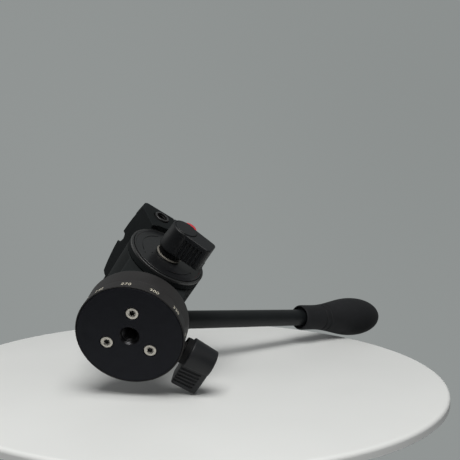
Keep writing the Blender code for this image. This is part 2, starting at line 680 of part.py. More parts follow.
def make_tilt_inside(frame):
    left_end = -(DRUM_LEFT + RUN_GAP + EAR_THICKNESS)
    right_end = DRUM_RIGHT + RUN_GAP + SIDE_PLATE_THICKNESS
    axle = add_solid("tilt_axle", rod_shape(
        AXLE_RADIUS, left_end, right_end, MEDIUM_SEGMENTS, OUT_RIGHT), frame, STEEL, 0.3, 1.0)
    cut(axle, rod_shape(
        KNOB_STUD_RADIUS + RUN_GAP, left_end - CUT_OVERRUN, left_end + TILT_STUD_DEPTH,
        SMALL_SEGMENTS, OUT_RIGHT))

    cup_start = -DRUM_LEFT + BUSHING_LENGTH + 2 * SEAT_GAP
    rotor_start = cup_start + (DRAG_CUP_LENGTH - ROTOR_LENGTH) / 2
    rotor_radius = DRUM_BORE_RADIUS - SEAT_GAP - DRAG_CUP_WALL - RUN_GAP
    add_solid("tilt_rotor", ring_shape(
        AXLE_RADIUS + SEAT_GAP, rotor_radius, rotor_start, rotor_start + ROTOR_LENGTH,
        MEDIUM_SEGMENTS, OUT_RIGHT), frame, BRASS, 0.4, 1.0)
    make_counter_spring(frame, cup_start + DRAG_CUP_LENGTH)


def make_counter_spring(frame, start):
    """The torsion spring that balances the camera, wound round the axle."""
    curve = bpy.data.curves.new("counterbalance_spring", "CURVE")
    curve.dimensions = "3D"
    curve.bevel_depth = SPRING_WIRE_RADIUS
    curve.bevel_resolution = 1
    curve.use_fill_caps = True
    count = SPRING_TURNS * SPRING_TURN_POINTS + 1
    spline = curve.splines.new("POLY")
    spline.points.add(count - 1)
    first = start + SPRING_WIRE_RADIUS + SEAT_GAP
    for index in range(count):
        share = index / SPRING_TURN_POINTS
        angle = math.tau * share
        across = SPRING_RADIUS * math.cos(angle)
        up = SPRING_RADIUS * math.sin(angle)
        spline.points[index].co = (first + SPRING_PITCH * share, across, up, 1)
    spring = bpy.data.objects.new("counterbalance_spring", curve)
    bpy.context.scene.collection.objects.link(spring)
    spring.parent = frame
    curve.materials.append(finish("counterbalance_spring", STEEL, 0.3, 1.0))


def block_outline():
    """The bracket's block seen along X, as (y, z) points about the tilt axis."""
    front = BLOCK_FRONT_CENTRE + CUT_OVERRUN
    return [
        (front, BLOCK_TOP), (-BLOCK_REAR, BLOCK_TOP), (-BLOCK_REAR, BLOCK_REAR_FOOT),
        (-DRUM_RADIUS * math.cos(BLOCK_REAR_ANGLE), DRUM_RADIUS * math.sin(BLOCK_REAR_ANGLE)), (0, 0),
        (BLOCK_TOE_Y, BLOCK_TOE_Z), (front - BLOCK_LIP * BLOCK_LIP_LEAN_SHARE, BLOCK_TOP - BLOCK_LIP),
        (front, BLOCK_TOP - BLOCK_LIP)]


def block_plan():
    """The bracket's block seen from above: straight sides and a bowed front."""
    half = BLOCK_HALF_WIDTH
    rise = BLOCK_FRONT_CENTRE - BLOCK_FRONT_CORNER
    bow = (half * half + rise * rise) / (2 * rise)
    spread = math.asin((half - BLOCK_CORNER_CUT / 2) / bow)
    centre = (0, BLOCK_FRONT_CENTRE - bow)
    front = arc(bow, math.pi / 2 - spread, math.pi / 2 + spread, BLOCK_FRONT_STEPS, centre)
    side = front[0][1] - BLOCK_CORNER_CUT
    return [(-half, -BLOCK_REAR * 2), (half, -BLOCK_REAR * 2), (half, side)] + front + [(-half, side)]


def channel_outline():
    """The dovetail channel seen along Y. Its +X side is open for the moving jaw."""
    floor = BLOCK_TOP - CHANNEL_DEPTH
    foot = floor + DOVETAIL_FOOT + SEAT_GAP
    wide = DOVETAIL_HALF_WIDTH + SEAT_GAP
    top = BLOCK_TOP + CUT_OVERRUN
    side = BLOCK_HALF_WIDTH + CUT_OVERRUN
    lip = foot + DOVETAIL_LIP
    return [(-wide, floor), (side, floor), (side, top), (-wide + DOVETAIL_LIP, top),
            (-wide + DOVETAIL_LIP, lip), (-wide, foot)]


def make_tilt_bracket(frame):
    """The block that carries the clamp, with the left ear as part of it."""
    bracket = add_solid("tilt_bracket", prism_shape(
        block_outline(), -BLOCK_HALF_WIDTH, BLOCK_HALF_WIDTH, ALONG_X), frame, BLACK, 0.5, 0.5)
    keep_inside(bracket, prism_shape(block_plan(), -DRUM_RADIUS, BLOCK_TOP + CUT_OVERRUN))
    ear_inner = -(DRUM_LEFT + RUN_GAP)
    ear_outer = ear_inner - EAR_THICKNESS
    far = BLOCK_HALF_WIDTH + CUT_OVERRUN
    # Room for the drum, and for the left ear, whose outer lip stands free of the block
    cut(bracket, rod_shape(DRUM_RADIUS + BLOCK_DRUM_GAP, ear_inner, far, LARGE_SEGMENTS, OUT_RIGHT))
    cut(bracket, rod_shape(DRUM_RADIUS + SEAT_GAP, -far, ear_outer, LARGE_SEGMENTS, OUT_RIGHT))
    core = DRUM_RADIUS - EAR_LIP / 2
    cut(bracket, rod_shape(
        core, ear_outer - CUT_OVERRUN, ear_inner + CUT_OVERRUN, LARGE_SEGMENTS, OUT_RIGHT))
    add_side_plate_room(bracket)
    cut(bracket, prism_shape(channel_outline(), -DRUM_RADIUS * 2, DRUM_RADIUS * 2, ALONG_Y))
    add_front_notch(bracket)
    add_left_side_features(bracket)
    add_clamp_screw_hole(bracket)
    add_side_screw_holes(bracket, DRUM_RIGHT + RUN_GAP)
    join(bracket, left_ear_shape(ear_inner, ear_outer))


def left_ear_shape(inner, outer):
    """The left ear, turned about the tilt axis, with a shallow pocket for the cap."""
    hole = AXLE_RADIUS + SEAT_GAP
    pocket = DRUM_RADIUS - EAR_LIP
    lip = outer - EAR_LIP_HEIGHT
    seat = outer - SEAT_GAP
    profile = [
        (hole, inner - SEAT_GAP), (DRUM_RADIUS, inner - SEAT_GAP), (DRUM_RADIUS, lip + SEAT_GAP),
        (DRUM_RADIUS - SEAT_GAP, lip), (pocket, lip), (pocket, seat), (hole, seat)]
    return turned_shape(profile, LARGE_SEGMENTS, OUT_RIGHT)


def add_side_plate_room(bracket):
    """Room for the side plate's tab and, behind it, for the handle's eye."""
    half = SIDE_PLATE_HALF_WIDTH + SEAT_GAP
    top = SIDE_PLATE_TOP + SEAT_GAP
    beyond = DRUM_RADIUS * 2
    room = [(half, -DRUM_RADIUS), (half, top), (-half, top), (-half, BLOCK_REAR_FOOT),
            (-beyond, BLOCK_REAR_FOOT), (-beyond, -DRUM_RADIUS)]
    inner = DRUM_RIGHT + RUN_GAP - SEAT_GAP
    cut(bracket, prism_shape(room, inner, BLOCK_HALF_WIDTH + CUT_OVERRUN, ALONG_X))


def add_front_notch(bracket):
    """The small index notch in the middle of the front lip."""
    half = NOTCH_WIDTH / 2
    deep = BLOCK_FRONT_CENTRE - NOTCH_DEPTH
    out = BLOCK_FRONT_CENTRE + CUT_OVERRUN
    low = BLOCK_TOP - BLOCK_LIP * 2
    high = BLOCK_TOP + CUT_OVERRUN
    outline = [(-half, out), (-half, deep), (0, deep - NOTCH_DEPTH / 2), (half, deep), (half, out)]
    cut(bracket, prism_shape(outline, low, high))


def add_left_side_features(bracket):
    """The accessory port's bore, the recess over the cap, the button's pocket and the level's recess."""
    side = -BLOCK_HALF_WIDTH
    port = rod_shape(
        PORT_RADIUS + SEAT_GAP, side - CUT_OVERRUN, side + PORT_LENGTH + SEAT_GAP, SMALL_SEGMENTS, OUT_RIGHT)
    cut(bracket, moved(port, (0, PORT_Y, PORT_Z)))
    ear_outer = -(DRUM_LEFT + RUN_GAP + EAR_THICKNESS)
    recess = [RECESS_FRONT, RECESS_REAR, RECESS_END]
    cut(bracket, prism_shape(recess, side - CUT_OVERRUN, ear_outer - SEAT_GAP * 2, ALONG_X))
    room = BUTTON_RADIUS + SEAT_GAP
    pocket = rod_shape(room, side - CUT_OVERRUN, side + BUTTON_POCKET, SMALL_SEGMENTS, OUT_RIGHT)
    cut(bracket, moved(pocket, (0, BUTTON_Y, BUTTON_Z)))
    level = rod_shape(
        LEVEL_RADIUS + LEVEL_RING + SEAT_GAP, BLOCK_TOP - LEVEL_DEPTH - SEAT_GAP, BLOCK_TOP + CUT_OVERRUN,
        SMALL_SEGMENTS)
    cut(bracket, moved(level, (-LEVEL_X, LEVEL_Y, 0)))


def clamp_screw_z():
    return BLOCK_TOP - CLAMP_SCREW_DROP


def add_clamp_screw_hole(bracket):
    inner = BLOCK_HALF_WIDTH - CLAMP_SCREW_LENGTH + JAW_THICKNESS
    hole = rod_shape(
        CLAMP_SCREW_RADIUS + SEAT_GAP, inner - SEAT_GAP, BLOCK_HALF_WIDTH + CUT_OVERRUN,
        SMALL_SEGMENTS, OUT_RIGHT)
    cut(bracket, moved(hole, (0, CLAMP_SCREW_Y, clamp_screw_z())))


def side_screw_places():
    for number, side in ((1, -1), (2, 1)):
        yield number, (side * SIDE_SCREW_SPACING / 2, SIDE_SCREW_HEIGHT)


def add_side_screw_holes(bracket, plate_inner):
    length = SCREW_HEAD_HEIGHT
    for _, (y, z) in side_screw_places():
        hole = rod_shape(
            SCREW_RADIUS + SEAT_GAP, plate_inner - 2 * length - SEAT_GAP, plate_inner,
            SCREW_SEGMENTS, OUT_RIGHT)
        cut(bracket, moved(hole, (0, y, z)))


def handle_pivot():
    """The handle's pivot seen along X, about the tilt axis."""
    return (-HANDLE_PIVOT_BACK, HANDLE_PIVOT_RISE)


def side_plate_outline():
    """The right ear seen along X: a disc with a tab on top and a lobe at the handle's pivot."""
    y, z = handle_pivot()
    reach = math.hypot(y, z)
    towards = math.atan2(z, y)
    spread = math.acos((DRUM_RADIUS ** 2 + reach ** 2 - EYE_RADIUS ** 2) / (2 * DRUM_RADIUS * reach))
    first = (DRUM_RADIUS * math.cos(towards - spread), DRUM_RADIUS * math.sin(towards - spread))
    last = (DRUM_RADIUS * math.cos(towards + spread), DRUM_RADIUS * math.sin(towards + spread))
    lobe_start = math.atan2(first[1] - z, first[0] - y)
    lobe_end = math.atan2(last[1] - z, last[0] - y) % math.tau
    half = SIDE_PLATE_HALF_WIDTH
    lean = math.acos(half / DRUM_RADIUS)
    top = [(half, SIDE_PLATE_TOP), (-half, SIDE_PLATE_TOP)]
    shoulder = arc(DRUM_RADIUS, math.pi - lean, towards - spread, SIDE_SHOULDER_STEPS)
    lobe = arc(EYE_RADIUS, lobe_start, lobe_end, SIDE_LOBE_STEPS, (y, z))
    rest = arc(DRUM_RADIUS, towards + spread, math.tau + lean, DRUM_STEPS)
    return top + shoulder + lobe[1:-1] + rest


def make_side_plate(frame):
    """The right ear, with a tab that is screwed to the block and a lobe that carries the handle."""
    inner = DRUM_RIGHT + RUN_GAP
    outer = inner + SIDE_PLATE_THICKNESS
    y, z = handle_pivot()
    plate = add_solid("side_plate", prism_shape(
        side_plate_outline(), inner, outer, ALONG_X, edge=SEAT_GAP), frame, BLACK, 0.5, 0.5)
    low = inner - CUT_OVERRUN
    high = outer + CUT_OVERRUN
    cut(plate, rod_shape(AXLE_RADIUS + SEAT_GAP, low, high, MEDIUM_SEGMENTS, OUT_RIGHT))
    stud = rod_shape(HANDLE_STUD_RADIUS + RUN_GAP, low, high, SMALL_SEGMENTS, OUT_RIGHT)
    cut(plate, moved(stud, (0, y, z)))
    head = outer + SCREW_HEAD_HEIGHT + SEAT_GAP
    length = head - inner + 2 * SCREW_HEAD_HEIGHT
    for number, (side_y, side_z) in side_screw_places():
        hole = rod_shape(SCREW_RADIUS + SEAT_GAP, low, high, SCREW_SEGMENTS, OUT_RIGHT)
        cut(plate, moved(hole, (0, side_y, side_z)))
        name = "side_plate_screw_%d" % number
        screw = add_solid(name, socket_screw_shape(length, OUT_LEFT), frame, STEEL, 0.3, 1.0)
        screw.location = (head, side_y, side_z)
        cut(screw, socket_shape(OUT_LEFT))

    cap_low = outer + SEAT_GAP
    add_solid("axle_cap", rod_shape(
        AXLE_CAP_RADIUS, cap_low, cap_low + AXLE_CAP_THICKNESS, MEDIUM_SEGMENTS, OUT_RIGHT, edge=SEAT_GAP),
        frame, BLACK, 0.4, 0.5)


def make_tilt_small_pieces(frame):
    ear_outer = -(DRUM_LEFT + RUN_GAP + EAR_THICKNESS)
    cap_high = ear_outer - 2 * SEAT_GAP
    cap_low = cap_high - CAP_THICKNESS
    add_solid("drum_cap", ring_shape(
        CAP_HOLE_RADIUS, DRUM_RADIUS - EAR_LIP - SEAT_GAP, cap_low, cap_high, LARGE_SEGMENTS, OUT_RIGHT),
        frame, BLACK, 0.35, 0.7)
    rim_low = ear_outer - SEAT_GAP - CAP_THICKNESS - WASHER_THICKNESS
    rim_high = cap_low - SEAT_GAP
    boss_low = rim_low - WASHER_BOSS_LENGTH
    spigot = CAP_HOLE_RADIUS - SEAT_GAP
    inner = KNOB_STUD_RADIUS + RUN_GAP
    washer = [
        (inner, boss_low), (WASHER_BOSS_RADIUS, boss_low), (WASHER_BOSS_RADIUS, rim_low),
        (WASHER_RADIUS, rim_low), (WASHER_RADIUS, rim_high), (spigot, rim_high), (spigot, cap_high),
        (inner, cap_high)]
    add_solid("tilt_lock_washer", turned_shape(washer, MEDIUM_SEGMENTS, OUT_RIGHT), frame, STEEL, 0.25, 1.0)

    side = -BLOCK_HALF_WIDTH
    bush = ring_shape(
        PORT_BORE_RADIUS, PORT_RADIUS, side - PORT_RISE, side + PORT_LENGTH, SMALL_SEGMENTS, OUT_RIGHT,
        edge=SEAT_GAP)
    add_solid("port_bush", moved(bush, (0, PORT_Y, PORT_Z)), frame, DARK_STEEL, 0.35, 1.0)

    foot = BLOCK_TOP - LEVEL_DEPTH
    ring = ring_shape(
        LEVEL_RADIUS + SEAT_GAP, LEVEL_RADIUS + LEVEL_RING, foot, BLOCK_TOP, SMALL_SEGMENTS)
    add_solid("level_ring", moved(ring, (-LEVEL_X, LEVEL_Y, 0)), frame, DARK_STEEL, 0.4, 0.8)
    vial = rod_shape(LEVEL_RADIUS, foot, BLOCK_TOP, SMALL_SEGMENTS, edge=SEAT_GAP)
    add_solid("level_vial", moved(vial, (-LEVEL_X, LEVEL_Y, 0)), frame, VIAL_GREEN, 0.1, 0.0)


def make_button(frame):
    """The red safety button, which slides inwards along +X against its spring."""
    end = BUTTON_POCKET - BUTTON_TRAVEL - 2 * SEAT_GAP
    profile = [
        (0, -BUTTON_RISE), (BUTTON_RADIUS - BUTTON_EDGE, -BUTTON_RISE),
        (BUTTON_RADIUS, BUTTON_EDGE - BUTTON_RISE), (BUTTON_RADIUS, BUTTON_SEAT),
        (BUTTON_STEM_RADIUS, BUTTON_SEAT), (BUTTON_STEM_RADIUS, end), (0, end)]
    button = turned_shape(profile, SMALL_SEGMENTS, OUT_RIGHT, closed=False)
    add_solid("safety_button", button, frame, RED, 0.35, 0.0)


def jaw_outline():
    """The moving jaw seen along Y, as (x, z) points about the tilt axis."""
    floor = BLOCK_TOP - CHANNEL_DEPTH + SEAT_GAP
    foot = floor + DOVETAIL_FOOT
    wide = DOVETAIL_HALF_WIDTH + SEAT_GAP
    leg = BLOCK_HALF_WIDTH + SEAT_GAP
    out = leg + JAW_THICKNESS
    low = BLOCK_TOP - JAW_DROP
    return [(wide, floor), (leg, floor), (leg, low), (out, low), (out, BLOCK_TOP),
            (wide - DOVETAIL_LIP, BLOCK_TOP), (wide - DOVETAIL_LIP, foot + DOVETAIL_LIP), (wide, foot)]


def make_clamp(jaw_frame, knob_frame):
    body = prism_shape(jaw_outline(), -JAW_REAR, JAW_FRONT, ALONG_Y)
    jaw = add_solid("clamp_jaw", body, jaw_frame, BLACK, 0.45, 0.5)
    leg = BLOCK_HALF_WIDTH + SEAT_GAP
    hole = rod_shape(
        CLAMP_SCREW_RADIUS + SEAT_GAP, leg - CUT_OVERRUN, leg + JAW_THICKNESS + CUT_OVERRUN,
        SMALL_SEGMENTS, OUT_RIGHT)
    cut(jaw, moved(hole, (0, CLAMP_SCREW_Y, clamp_screw_z())))

    knob_low = SEAT_GAP
    flutes = []
    count = CLAMP_KNOB_FLUTES * CLAMP_KNOB_FLUTE_POINTS
    for step in range(count):
        angle = math.tau * step / count
        wave = (1 - math.cos(CLAMP_KNOB_FLUTES * angle)) / 2
        radius = CLAMP_KNOB_RADIUS - CLAMP_KNOB_FLUTE_DEPTH * wave
        flutes.append((radius * math.cos(angle), radius * math.sin(angle)))
    grip = CLAMP_KNOB_LENGTH / 2
    body = prism_shape(flutes, knob_low, knob_low + CLAMP_KNOB_LENGTH, OUT_RIGHT, edge=KNOB_EDGE)
    knob = add_solid("clamp_knob", body, knob_frame, BLACK, 0.5, 0.0)
    cut(knob, rod_shape(
        CLAMP_SCREW_RADIUS + SEAT_GAP, -CUT_OVERRUN, grip + SEAT_GAP, SMALL_SEGMENTS, OUT_RIGHT))
    screw = rod_shape(CLAMP_SCREW_RADIUS, -CLAMP_SCREW_LENGTH, grip, SMALL_SEGMENTS, OUT_RIGHT)
    add_solid("clamp_screw", screw, knob_frame, STEEL, 0.3, 1.0)


def plate_outline():
    """The quick release plate seen along Y, standing on zero."""
    wide = DOVETAIL_HALF_WIDTH
    neck = wide - DOVETAIL_LIP
    lip = DOVETAIL_FOOT + DOVETAIL_LIP
    flange = lip + PLATE_NECK_HEIGHT
    top = PLATE_THICKNESS
    right = [(wide, 0), (wide, DOVETAIL_FOOT), (neck, lip), (neck, flange),
             (wide, flange + DOVETAIL_LIP / 2), (wide, top - PLATE_EDGE), (wide - PLATE_EDGE, top)]
    return right + [(-x, z) for x, z in reversed(right)]


def make_plate(frame):
    half = PLATE_LENGTH / 2
    body = prism_shape(plate_outline(), -half, half, ALONG_Y)
    plate = add_solid("release_plate", body, frame, BLACK, 0.4, 0.7)
    head_room = CAMERA_SCREW_HEAD_HEIGHT + 2 * SEAT_GAP
    cut(plate, rod_shape(CAMERA_SCREW_HEAD_RADIUS + SEAT_GAP, -CUT_OVERRUN, head_room, MEDIUM_SEGMENTS))
    cut(plate, rod_shape(
        CAMERA_SCREW_RADIUS + SEAT_GAP, -CUT_OVERRUN, PLATE_THICKNESS + CUT_OVERRUN, SMALL_SEGMENTS))
    for name, side in (("plate_pad_left", -1), ("plate_pad_right", 1)):
        centre = side * PAD_OFFSET
        low = (centre - PAD_WIDTH / 2, -PAD_LENGTH / 2, PLATE_THICKNESS - PAD_RECESS)
        high = (centre + PAD_WIDTH / 2, PAD_LENGTH / 2, PLATE_THICKNESS - PAD_RECESS + PAD_HEIGHT)
        grow = Vector((SEAT_GAP,) * 3)
        cut(plate, box_shape(Vector(low) - grow, Vector(high) + grow))
        add_solid(name, box_shape(low, high), frame, RUBBER, 0.9, 0.0)


def make_camera_screw(frame):
    top = PLATE_THICKNESS + CAMERA_SCREW_RISE
    profile = [
        (0, SEAT_GAP), (CAMERA_SCREW_HEAD_RADIUS, SEAT_GAP),
        (CAMERA_SCREW_HEAD_RADIUS, CAMERA_SCREW_HEAD_HEIGHT), (CAMERA_SCREW_RADIUS, CAMERA_SCREW_HEAD_HEIGHT),
        (CAMERA_SCREW_RADIUS, top - SCREW_EDGE), (CAMERA_SCREW_RADIUS - SCREW_EDGE, top), (0, top)]
    add_solid("camera_screw", turned_shape(profile, SMALL_SEGMENTS, closed=False), frame, STEEL, 0.3, 1.0)


def handle_line_turn():
    """Turns +Z to run along the handle's tube, away from the pivot and a little inwards."""
    return Matrix.Rotation(-HANDLE_YAW, 4, "Z") @ OUT_BACK


def make_handle_bracket(frame):
    """The eye that turns on the side plate, with a radial hole for the tube's end."""
    half = EYE_WIDTH / 2
    eye = add_solid("handle_eye", rod_shape(
        EYE_RADIUS, -half, half, MEDIUM_SEGMENTS, OUT_RIGHT, edge=EYE_EDGE), frame, BLACK, 0.45, 0.6)
    over = half + CUT_OVERRUN
    cut(eye, rod_shape(HANDLE_STUD_RADIUS + RUN_GAP, -over, over, SMALL_SEGMENTS, OUT_RIGHT))
    hole = rod_shape(
        SPIGOT_RADIUS + SEAT_GAP, SPIGOT_END - SEAT_GAP, EYE_RADIUS + CUT_OVERRUN, SMALL_SEGMENTS)
    bmesh.ops.transform(hole, matrix=handle_line_turn(), verts=hole.verts)
    cut(eye, hole)


def make_handle_tube(line):
    """The tube, coped to the round eye, with a thinner spigot that sits in the eye's hole."""
    end = GRIP_START + GRIP_BORE - SEAT_GAP
    tube = add_solid("handle_tube", rod_shape(
        TUBE_RADIUS, EYE_RADIUS / 2, end, SMALL_SEGMENTS), line, BLACK, 0.35, 0.7)
    eye = rod_shape(
        EYE_RADIUS + SEAT_GAP, -EYE_WIDTH, EYE_WIDTH, MEDIUM_SEGMENTS, OUT_RIGHT)
    bmesh.ops.transform(eye, matrix=handle_line_turn().inverted(), verts=eye.verts)
    cut(tube, eye)
    join(tube, rod_shape(SPIGOT_RADIUS, SPIGOT_END, EYE_RADIUS + TUBE_RADIUS, SMALL_SEGMENTS))


def grip_radius(place):
    """Radius of the grip at a distance from its start."""
    if place <= GRIP_WAIST_END:
        return GRIP_NECK_RADIUS
    if place <= GRIP_BULB_AT:
        share = (place - GRIP_WAIST_END) / (GRIP_BULB_AT - GRIP_WAIST_END)
        swell = (1 - math.cos(math.pi * share ** GRIP_SWELL_POWER)) / 2
        return GRIP_NECK_RADIUS + (GRIP_BULB_RADIUS - GRIP_NECK_RADIUS) * swell
    share = (place - GRIP_BULB_AT) / (GRIP_LENGTH - GRIP_BULB_AT)
    return GRIP_BULB_RADIUS * math.sqrt(max(0, 1 - share ** GRIP_END_POWER))


def make_grip(line):
    points = []
    for step in range(GRIP_STEPS + 1):
        share = 1 - (1 - step / GRIP_STEPS) ** GRIP_STEP_POWER
        place = GRIP_LENGTH * share
        points.append((grip_radius(place), place))
    points[-1] = (0, GRIP_LENGTH)
    places = []
    for groove in GRIP_GROOVES:
        half = GRIP_GROOVE_WIDTH / 2
        points = [point for point in points if abs(point[1] - groove) > GRIP_GROOVE_WIDTH]
        radius = grip_radius(groove)
        places += [(radius, groove - half), (radius - GRIP_GROOVE_DEPTH, groove - half / 2),
                   (radius - GRIP_GROOVE_DEPTH, groove + half / 2), (radius, groove + half)]
    outer = sorted(points + places, key=lambda point: point[1])
    bore = TUBE_RADIUS + SEAT_GAP
    mouth = bore + GRIP_MOUTH
    profile = [(0, GRIP_BORE), (bore, GRIP_BORE), (bore, GRIP_MOUTH_DEPTH), (mouth, GRIP_MOUTH_DEPTH),
               (mouth, 0), (GRIP_NECK_RADIUS - PLATE_EDGE, 0)]
    profile += [(radius, place) for radius, place in outer if place > 0]
    shifted = [(radius, place + GRIP_START) for radius, place in profile]
    add_solid("handle_grip", turned_shape(shifted, MEDIUM_SEGMENTS, closed=False), line, RUBBER, 0.7, 0.0)


def make_handle_knob(frame):
    """The round knob that clamps the eye to the side plate."""
    outline = []
    count = HANDLE_KNOB_LOBES * HANDLE_KNOB_LOBE_POINTS
    for step in range(count):
        angle = math.tau * step / count
        dip = (1 - math.cos(HANDLE_KNOB_LOBES * angle)) / 2
        radius = HANDLE_KNOB_RADIUS - HANDLE_KNOB_LOBE_HEIGHT * 2 * dip
        outline.append((radius * math.cos(angle), radius * math.sin(angle)))
    knob = add_solid("handle_knob", prism_shape(
        outline, SEAT_GAP, HANDLE_KNOB_LENGTH, OUT_RIGHT, edge=KNOB_EDGE), frame, BLACK, 0.6, 0.0)
    grip = HANDLE_KNOB_LENGTH / 2
    cut(knob, rod_shape(
        HANDLE_STUD_RADIUS + SEAT_GAP, -CUT_OVERRUN, grip + SEAT_GAP, SMALL_SEGMENTS, OUT_RIGHT))
    reach = EYE_WIDTH + SIDE_PLATE_THICKNESS
    add_solid("handle_stud", rod_shape(
        HANDLE_STUD_RADIUS, -reach, grip, SMALL_SEGMENTS, OUT_RIGHT), frame, STEEL, 0.3, 1.0)


def main():
    clear_scene()
    base = add_frame("base_axis", (0, 0, 0))
    make_base(base)
    make_spindle(base)
    make_base_screws(base)

    pan = add_frame("pan_axis", (0, 0, 0), parent=base)
    make_pan_housing(pan)
    make_pan_inside(pan)
    pan_seat = HOUSING_RADIUS + PAN_BOSS_RISE + SEAT_GAP
    place = PAN_KNOB_OUT @ Vector((0, 0, pan_seat)) + Vector((0, 0, PAN_KNOB_HEIGHT))
    pan_knob = add_frame("pan_lock_axis", place, PAN_KNOB_OUT, pan)
    shoe_end = DRAG_RING_RADIUS + 2 * SEAT_GAP + SHOE_LENGTH
    make_winged_knob("pan_lock_knob", pan_knob, "pan_lock_stud", pan_seat - shoe_end)

    tilt = add_frame("tilt_axis", (0, TILT_Y, TILT_HEIGHT), parent=pan)
    make_tilt_inside(tilt)
    make_tilt_bracket(tilt)
    make_side_plate(tilt)
    make_tilt_small_pieces(tilt)
    ear_face = DRUM_LEFT + RUN_GAP + EAR_THICKNESS
    washer_face = ear_face + SEAT_GAP + CAP_THICKNESS + WASHER_THICKNESS + WASHER_BOSS_LENGTH
    tilt_seat = washer_face + SEAT_GAP
    wing_turn = Matrix.Rotation(TILT_KNOB_DROP, 4, "X") @ WING_TO_REAR
    tilt_knob = add_frame("tilt_lock_axis", (-tilt_seat, 0, 0), wing_turn, tilt)
    stud_depth = tilt_seat - ear_face + TILT_STUD_DEPTH - 2 * SEAT_GAP
    make_winged_knob("tilt_lock_knob", tilt_knob, "tilt_lock_stud", stud_depth)

    button = add_frame("button_axis", (-BLOCK_HALF_WIDTH, BUTTON_Y, BUTTON_Z), parent=tilt)
    make_button(button)

    jaw = add_frame("jaw_slide", (0, 0, 0), parent=tilt)
    jaw_face = BLOCK_HALF_WIDTH + SEAT_GAP + JAW_THICKNESS
    clamp_knob = add_frame("clamp_knob_axis", (jaw_face, CLAMP_SCREW_Y, clamp_screw_z()), parent=jaw)
    make_clamp(jaw, clamp_knob)

    plate = add_frame("plate_slide", (0, 0, BLOCK_TOP - CHANNEL_DEPTH + SEAT_GAP), parent=tilt)
    make_plate(plate)
    make_camera_screw(add_frame("camera_screw_axis", (0, 0, 0), parent=plate))

    pivot_y, pivot_z = handle_pivot()
    eye_x = DRUM_RIGHT + RUN_GAP + SIDE_PLATE_THICKNESS + RUN_GAP + EYE_WIDTH / 2
    handle = add_frame(
        "handle_axis", (eye_x, pivot_y, pivot_z), Matrix.Rotation(-HANDLE_RISE, 4, "X"), tilt)
    line = add_frame("handle_line", (0, 0, 0), handle_line_turn(), handle)
    make_handle_bracket(handle)
    make_handle_tube(line)
    make_grip(line)
    make_handle_knob(add_frame("handle_knob_axis", (EYE_WIDTH / 2, 0, 0), parent=handle))


main()
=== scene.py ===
"""Looks of a compact fluid video head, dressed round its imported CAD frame.

Metres, in the row frame: +Z up the pan axis, +Y to the lens side, -Y to the handle, -X to the tilt lock.
"""

from math import acos, asin, atan2, cos, hypot, pi, radians, sin, sqrt, tan, tau

import bmesh
import bpy
from mathutils import Matrix, Vector


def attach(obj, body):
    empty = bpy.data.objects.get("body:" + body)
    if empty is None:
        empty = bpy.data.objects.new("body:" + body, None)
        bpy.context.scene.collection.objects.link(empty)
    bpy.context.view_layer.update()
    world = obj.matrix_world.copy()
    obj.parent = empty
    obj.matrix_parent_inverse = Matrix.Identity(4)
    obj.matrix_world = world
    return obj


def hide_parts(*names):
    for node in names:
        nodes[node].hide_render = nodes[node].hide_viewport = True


# Clearances and meshing
GAP = 0.0003
FIT = 0.00004
OVER = 0.002
FINE = 160
MEDIUM = 96
SMALL = 48
QUARTER = pi / 2

# Threads, screws and stud holes
INCH = 0.0254
TRIPOD_PITCH = INCH / 16
CAMERA_PITCH = INCH / 20
THREAD_ROWS = 12
HEAD_RADIUS = 0.0035
HEAD_HEIGHT = 0.0038
SHANK_RADIUS = 0.0020
HEX_RADIUS = 0.0017
HEX_MOUTH = 0.0021
HEX_LEAD = 0.00035
HEX_DEPTH = 0.0022
STUD_HOLE = 0.0023

# Base and degree ring
BASE_RADIUS = 0.030
RIM_RADIUS = 0.0291
BOSS_RADIUS = 0.0195
BOSS_TOP = 0.006
BASE_THICKNESS = 0.003
BUSH_RADIUS = 0.0070
BUSH_LENGTH = 0.0125
BUSH_MOUTH = 0.0056
SCREW_CIRCLE = 0.0139
SCREW_FIRST = radians(37)
COUNTERBORE = 0.0038
COUNTERBORE_DEPTH = 0.0044
COUNTERBORE_EDGE = 0.00025
RING_LIFT = 0.0002
RING_TOP = 0.0078
RING_TOP_RADIUS = 0.0296
RING_BAND = 0.0010
LABEL_HEIGHT = 0.0025
LABEL_Z = 0.0033
LABEL_ZERO = radians(236.6)
LABEL_STEP = 30

# Pan housing
HOUSING_RADIUS = 0.0295
HOUSING_FOOT = 0.00784
HOUSING_BAND_TOP = 0.0191
SHOULDER_RADIUS = 0.0272
SHOULDER_TOP = 0.0207
NECK_RADIUS = 0.0185
NECK_TOP = 0.0314
# The steps of the hollow, each as its radius and its top
HOUSING_INSIDE = ((0.0190, 0.0107), (0.0168, 0.0182), (0.0110, 0.0312))
PAN_KNOB_HEIGHT = 0.0128
PAN_BOSS_RADIUS = 0.0045
PAN_BOSS_START = 0.025
PAN_BOSS_END = 0.0318
PAN_STUD_START = 0.0144

# Drum and tilt axis
TILT = Vector((0, 0.0018, 0.0559))
DRUM_RADIUS = 0.0241
DRUM_LEFT = 0.0189
DRUM_RIGHT = 0.0110
DRUM_BORE = 0.0185
DRUM_FLANK = 0.0190
DRUM_FOOT_HALF = 0.0200
DRUM_FOOT = 0.0175
EAR_INNER = 0.0193
EAR_OUTER = 0.0233
EAR_LIP = 0.0012
EAR_LIP_HEIGHT = 0.0013
AXLE_HOLE = 0.0053

